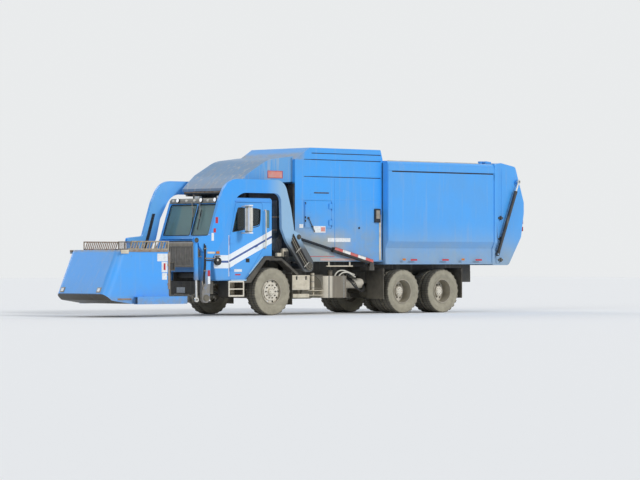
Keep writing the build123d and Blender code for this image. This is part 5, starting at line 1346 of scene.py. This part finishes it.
# %% [markdown]
# A bent rail of steel closes the canopy's front edge from below. Behind it hang a dark sheet and
# a few brackets. The sheet and the black lining under the rail are painted shade, so the gap over
# the cab's roof reads as deep and dark.

# %% Rail under the canopy
rail_y = (-0.930, 0.930)
boxes(
    "canopy_front_rail", rusty_steel, "chassis", "cast_grey",
    [((0.848, 0.872), rail_y, (2.836, 2.868)), ((0.800, 0.868), rail_y, (2.850, 2.866))],
)
# Painted shade: a black lining under the rail.
boxes(
    "canopy_front_lining", trim_plastic, "chassis", "trim_black",
    [((0.842, 0.866), (-0.928, 0.928), (2.800, 2.838))], 0.003,
)
# Painted shade: a dark ribbed sheet behind the rail.
boxes(
    "canopy_dark_sheet", shade_sheet, "chassis", "chassis_black",
    [((0.575, 0.595), (-0.935, 0.935), (2.690, 2.945))]
    + [((0.590, 0.640), (y - 0.02, y + 0.02), (2.700, 2.930)) for y in (-0.85, -0.45, 0.0, 0.45, 0.85)],
)
boxes(
    "canopy_front_brackets", rim_steel, "chassis", "cast_grey",
    [((0.660, 0.850), (y - 0.035, y + 0.035), (2.760, 2.838)) for y in (-0.86, -0.60)],
)
print("canopy rail ready")

# %% [markdown]
# Some forms are painted shade, dark things that only fill dark places: a sheet with ribs on the
# hopper's front wall, which shows in the slot behind the arm, and a rubber flap behind each front
# wheel. Bars guard the headlamps.

# %% Dark places and lamp bars
# Painted shade: a dark ribbed sheet in the slot behind the arm.
both(
    boxes, "hopper_front_sheet", shade_sheet, "chassis", "chassis_black",
    [((-0.852, -0.842), (0.62, 1.030), (2.02, 3.055))]
    + [((-0.845, -0.815), (y, y + 0.035), (2.02, 3.04)) for y in (0.66, 0.83, 0.985)]
    + [((-0.845, -0.822), (0.64, 1.02), (z, z + 0.03)) for z in (2.06, 2.55, 2.98)],
)
# Painted shade: a dark rubber flap behind the front wheel.
both(
    boxes, "front_wheel_flap", flap_rubber, "chassis", "rubber_black",
    [((-0.664, -0.650), (0.935, 1.160), (0.24, 1.070))],
)
both(
    boxes, "front_flap_clamp", zinc_steel, "chassis", "cast_grey",
    [((-0.652, -0.645), (0.945, 1.150), (0.950, 0.985))],
)
both(
    boxes, "headlamp_guard_bars", frame_plastic, "chassis", "grille_grey",
    [((lamp_face - 0.012, lamp_face + 0.008), (0.560, 1.060), (z - 0.014, z + 0.014)) for z in (1.352, 1.522)]
    + [((lamp_face - 0.050, lamp_face + 0.006), (y, y + 0.024), (1.340, 1.535)) for y in (0.560, 1.036)],
    0.006,
)
print("dark places and lamp bars ready")

# %% [markdown]
# The hopper's side wears more small things: a pale tag, a dark cap, couplings on the door's lock
# rod, a pink strip along the lower edge, and the seams where sheets meet. The body's side
# panel lies between raised posts and a raised roof rail, which throw the dark lines of the
# photograph. Black strips in the grooves and beside the rear post add painted shade to them.

# %% Hopper's small things
for name, material, finish_slot, y_pair, x_pair, z_pair, bevel in (
    ("hopper_red_patch", faded_red, "lamp_red", (0.003, 0.005), (-1.795, -1.665), (1.945, 2.045), 0.0),
    ("hopper_tag", blank_plate, "mirror_white", (-0.002, 0.004), (-1.104, -0.985), (2.023, 2.111), 0.001),
    ("hopper_pink_strip", pink_tape, "lamp_red", (-0.002, 0.004), (-2.76, -1.64), (1.262, 1.312), 0.0),
    ("hopper_thin_line", red_tape, "lamp_red", (-0.001, 0.002), (-2.10, -1.10), (1.354, 1.366), 0.0),
    ("hopper_rear_post", box_paint, "paint_cream", (-0.002, 0.012), (-3.600, -3.540), (1.27, 2.36), 0.004),
):
    limits = [(x_pair, skin(hopper_side_y, *y_pair), z_pair)]
    both(boxes, name, material, "chassis", finish_slot, limits, bevel)
both(
    discs, "hopper_cap", trim_plastic, "chassis", "trim_black",
    [(-2.889, 2.036, 0.028, skin(hopper_side_y, -0.002, 0.010))], 16,
)
both(
    boxes, "hopper_seams", body_enamel, "chassis", "paint_blue",
    [((-3.64, -0.862), skin(hopper_side_y, -0.003, 0.003), (2.690, 2.700)),
     ((-2.115, -2.095), skin(hopper_side_y, -0.003, 0.006), (1.40, 3.20))],
)
in_groove = skin(hopper_side_y - groove_depth, -0.002, 0.002)
both(
    boxes, "hopper_groove_shade", trim_plastic, "chassis", "trim_black",
    [((-3.598, -1.372), in_groove, (z - 0.011, z + 0.004)) for z in (3.78, 3.63, 3.23)]
    + [((-1.375, -1.130), skin(hopper_side_y, -0.002, 0.002), (z - 0.009, z + 0.005)) for z in (3.63, 3.23)]
    + [((-3.656, -3.634), skin(hopper_side_y, -0.002, 0.003), (1.28, 3.60))],
    0.0,
)
couplings = [((-1.166, 1.054, z), 0.017, 0.05) for z in (2.19, 2.27, 2.60)]
knobs("lock_rod_couplings", trim_plastic, "side_door", "trim_black", couplings, (0, 0, 1), 12)
print("hopper dress ready")

# %% Body's raised frame
raised = skin(body_side_y, -0.004, 0.013)
both(
    boxes, "body_side_frame", body_enamel, "chassis", "paint_blue",
    [((-7.42, -3.672), raised, (3.418, 3.560)), ((-3.790, -3.672), raised, (1.735, 3.415))], 0.005,
)
post = [(-7.42, 1.735), (-7.42, 3.42), (-7.300, 3.42), (-7.300, 3.385), (-7.412, 1.735)]
both(plate, "body_rear_post", body_enamel, "chassis", "paint_blue", [post], raised)
# Painted shade: a black line beside the rear post.
rear_shade_outline = [(-7.278, 3.386), (-7.300, 3.386), (-7.408, 1.80), (-7.398, 1.80)]
rear_shade_y = skin(body_side_y, -0.001, 0.003)
both(plate, "body_rear_seam", trim_plastic, "chassis", "trim_black", [rear_shade_outline], rear_shade_y, 0.0)
both(
    boxes, "body_groove_shade", trim_plastic, "chassis", "trim_black",
    [((-7.40, -3.795), skin(body_side_y - groove_depth, -0.002, 0.002), (3.386, 3.414))], 0.0,
)
both(
    boxes, "body_low_rail", body_enamel, "chassis", "paint_blue",
    [((-7.42, -3.672), skin(body_side_y, -0.084, -0.068), (1.175, 1.215))],
)
both(
    boxes, "roof_side_rail", box_paint, "chassis", "paint_faded",
    [((-6.85, -3.80), (1.055, 1.115), (3.646, 3.668))], 0.006,
)
print("hopper and body dress ready")

# %% [markdown]
# The tailgate. Its sides show one long seam, a raised edge and a row of three clamps. The back,
# which the photograph doesn't show, gets what such trucks have: two upright ribs, marker
# strips, and a blank number plate with its lamp.

# %% Tailgate details
both(
    boxes, "tailgate_seam", body_enamel, "tailgate", "paint_blue",
    [((-7.715, -7.690), skin(tailgate_side_y, -0.003, 0.005), (1.55, 3.56)),
     ((-7.60, -7.50), skin(tailgate_side_y, -0.003, 0.012), (1.20, 3.60))],
)
clamp_zs = (1.26, 1.78, 2.30)
both(
    boxes, "tailgate_clamps", cast_iron, "tailgate", "cast_grey",
    [((-7.72, -7.56), skin(tailgate_side_y, 0.003, 0.035), (z, z + 0.045)) for z in clamp_zs]
    + [((-7.66, -7.62), skin(tailgate_side_y, 0.020, 0.050), (z - 0.03, z + 0.075)) for z in clamp_zs],
    0.006,
)
rib_outline = [
    (-8.497, 2.36), (-8.497, 2.12), (-8.435, 1.78), (-8.035, 1.165),
    (-7.990, 1.165), (-8.360, 1.80), (-8.440, 2.36),
]
for number, y in enumerate((0.72, -0.72)):
    plate(
        f"tailgate_rib_{number}", body_enamel, "tailgate", "paint_blue",
        [rib_outline], (y - 0.035, y + 0.035), 0.006,
    )
boxes(
    "tailgate_plate", blank_plate, "tailgate", "mirror_white",
    [((-8.225, -8.219), (-0.17, 0.17), (1.46, 1.60))], 0.002,
)
boxes(
    "tailgate_plate_holder", trim_plastic, "tailgate", "trim_black",
    [((-8.220, -8.212), (-0.19, 0.19), (1.44, 1.62)), ((-8.260, -8.212), (-0.05, 0.05), (1.625, 1.665))]
    + mirrored([((-8.215, -8.120), (0.12, 0.15), (1.46, 1.60))]),
)
for name, material, finish_slot, ys in (
    ("tailgate_red_strips", red_tape, "lamp_red", (-0.8, 0.0, 0.8)),
    ("tailgate_white_strips", white_tape, "mirror_white", (-0.4, 0.4)),
):
    strips = [((-8.4995, -8.480), (y - 0.15, y + 0.15), (2.37, 2.42)) for y in ys]
    boxes(name, material, "tailgate", finish_slot, strips, 0.0)
print("tailgate ready")

# %% [markdown]
# The can. Blank plates hang near its rear edge, a folded rim runs along its mouth, rubbed
# where bags slide over it, and a wear bar lies on the lower edge of the nose.

# %% Can details
can_plates = (
    ((2.862, 3.159), (1.245, 1.416)), ((2.870, 3.035), (0.999, 1.235)), ((2.884, 3.022), (0.832, 0.982)),
)
both(
    boxes, "can_blank_plates", blank_plate, "forks", "mirror_white",
    [(x_pair, skin(can_side_y), z_pair) for x_pair, z_pair in can_plates], 0.001,
)
for name, material, finish_slot, y_pair, x_pair, z_pair, bevel in (
    ("can_red_patch", red_tape, "lamp_red", (0.003, 0.005), (2.925, 2.980), (1.05, 1.20), 0.0),
    ("can_rim", rim_steel, "cast_grey", (-0.004, 0.014), (2.86, 4.205), (1.455, 1.498), 0.004),
    ("can_cream_patch", box_paint, "paint_cream", (0.012, 0.020), (3.98, 4.20), (1.415, 1.500), 0.004),
    ("can_wear_bar", rim_steel, "cast_grey", (-0.004, 0.010), (3.90, 4.28), (0.386, 0.424), 0.003),
):
    both(boxes, name, material, "forks", finish_slot, [(x_pair, skin(can_side_y, *y_pair), z_pair)], bevel)
both(
    boxes, "can_rear_frame", rim_steel, "forks", "cast_grey",
    [((2.796, 2.852), skin(can_side_y, -0.030, 0.010), (0.62, 1.455))]
    + [((2.852, 2.868), skin(can_side_y, -0.010, 0.006), (z, z + 0.050)) for z in (0.70, 0.92, 1.14, 1.36)],
)
print("can ready")

# %% [markdown]
# The far side of the can has slanted bars as well, and a mesh of thin rods closes the corner
# behind them. The rows are grown with the rib tree. Two square reflectors sit low on the nose.

# %% Far fence, mesh and reflectors
upright = (0, 0, 0)
for name, count, start, step, size, lean in (
    ("far_fence_bars", 17, (2.90, -0.893, 1.592), (0.054, 0.0, 0.0), (0.022, 0.012, 0.190), (0, -0.36, 0)),
    ("corner_mesh_upright", 24, (2.846, -0.86, 1.60), (0.0, 0.030, 0.0), (0.005, 0.005, 0.150), upright),
    ("corner_mesh_level", 5, (2.846, -0.515, 1.54), (0.0, 0.0, 0.030), (0.005, 0.70, 0.005), upright),
):
    grow(
        name, rib_tree, "forks", "cast_grey",
        Count=count, Start=at(*start), Step=step, Rib_size=size, Lean=lean, Material=rusty_steel,
    )
boxes(
    "far_fence_rails", rusty_steel, "forks", "cast_grey",
    [((2.832, 3.84), (-0.902, -0.884), (z, z + 0.026)) for z in (1.502, 1.668)]
    + [((3.816, 3.84), (-0.902, -0.884), (1.502, 1.690))],
)
nose_tilt = math.atan2(0.43, 0.97)
nose_out = Vector((math.cos(nose_tilt), 0, math.sin(nose_tilt)))
nose_up = Vector((-math.sin(nose_tilt), 0, math.cos(nose_tilt)))
nose_foot = Vector((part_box("can_shell")[1][0] - axle_x, 0, 0.53))
reflector_up = 0.085
for name, material, finish_slot, half, height, thick in (
    ("nose_reflector_plates", frame_plastic, "cast_grey", 0.070, 0.120, 0.010),
    ("nose_reflectors", white_tape, "lamp_lens", 0.042, 0.075, 0.016),
):
    low, high = reflector_up - height / 2, reflector_up + height / 2
    corners = []
    for up, out in ((low, -0.004), (high, -0.004), (high, thick), (low, thick)):
        spot = nose_foot + nose_up * up + nose_out * out
        corners.append((spot.x, spot.z))
    for number, y in enumerate((-0.66, 0.66)):
        plate(f"{name}_{number}", material, "forks", finish_slot, [corners], (y - half, y + half))
print("can fence, mesh and reflectors ready")

# %% [markdown]
# The arms' front legs carry hoses to the fork cylinders: black ones along the front edge, and a
# pale pipe with a hose across the leg. Round lamps in dark housings, each under a brow, close the
# cab's front corners; the small pale disc on each housing is a painted highlight. A sun-bleached
# sill and a pale strip on the wheel arch's edge, a painted highlight, finish the cab's side, a
# dark seam the canopy's, and a short latch rod the hopper's side door.

# %% Hoses on the front legs
hose_y = arm_outer_y + 0.017
leg_hoses = []
for back, low in ((0.000, 0.66), (0.034, 0.74)):
    x = 2.112 - back
    drop = [(x - 0.03, 1.64 - back), (x - 0.03, 1.45), (x - 0.03, 1.10), (x, 0.92), (x, low)]
    leg_hoses.append([(hose_x, hose_y, z) for hose_x, z in drop])
leg_hoses.append([(2.07, hose_y, 1.262), (1.98, hose_y, 1.275), (1.80, hose_y, 1.252)])
both(pipes, "arm_leg_hoses", hose_rubber, "lift_arms", "rubber_black", leg_hoses, 0.0125)
leg_pipes = [
    [(2.07, hose_y, 1.312), (1.97, hose_y, 1.315), (1.79, hose_y, 1.308)],
    [(2.155, hose_y, 0.80), (2.105, hose_y, 0.62)],
]
both(pipes, "arm_front_pipes", frame_plastic, "lift_arms", "paint_cream", leg_pipes, 0.0120)
both(
    boxes, "arm_front_straps", box_paint, "lift_arms", "paint_cream",
    [((1.76, 1.98), skin(arm_outer_y, -0.002, 0.005), (1.418, 1.462))], 0.001,
)
both(
    boxes, "arm_hose_clips", zinc_steel, "lift_arms", "cast_grey",
    [((2.020, 2.110), skin(arm_outer_y, 0.0, 0.036), (z, z + 0.022)) for z in (1.02, 1.52)], 0.002,
)
print("leg hoses ready")

# %% Corner lamps, sill, arch edge and latch rod
both(
    knobs, "corner_lamp_housing", trim_plastic, "chassis", "trim_black",
    [((1.575, 1.128, 1.245), 0.088, 0.070)], (0, 1, 0), 24,
)
# Painted highlight: a small pale disc off the lamp housing's centre.
both(
    knobs, "corner_lamp_lens", lens_plastic, "chassis", "lamp_lens",
    [((1.600, 1.160, 1.272), 0.026, 0.010)], (0, 1, 0), 16, 0.001,
)
both(
    boxes, "corner_lamp_brow", trim_plastic, "chassis", "trim_black",
    [((1.50, 1.625), (cab_side_y - 0.002, 1.140), (1.352, 1.376))],
)
both(
    boxes, "cab_sill", sill_and_arch_highlight_paint, "chassis", "paint_blue",
    [((0.715, 1.200), (1.085, 1.158), (0.797, 0.828))],
)
# Painted highlight: a pale strip along the wheel arch's edge.
arch_edge = [(0.629, 0.960), (0.213, 1.358), (0.193, 1.338), (0.609, 0.940)]
arch_y = skin(cab_side_y, -0.002, 0.012)
both(plate, "arch_edge", sill_and_arch_highlight_paint, "chassis", "paint_blue", [arch_edge], arch_y)
both(
    boxes, "canopy_rear_seam", trim_plastic, "chassis", "trim_black",
    [((-0.806, -0.794), (0.955, 0.964), (3.07, 3.655))], 0.0,
)
rod_y = hopper_side_y + 0.022
rod = [[(-1.264, rod_y, 2.257), (-1.452, rod_y, 1.930)]]
pipes("side_door_latch_rod", cast_iron, "side_door", "cast_grey", rod, 0.010)
ear_y = (hopper_side_y - 0.002, rod_y + 0.012)
boxes(
    "side_door_latch_ears", cast_iron, "side_door", "cast_grey",
    [((-1.284, -1.244), ear_y, (2.236, 2.278)), ((-1.395, -1.360), ear_y, (2.040, 2.075))],
)
print("corner lamps, sill and latch rod ready")
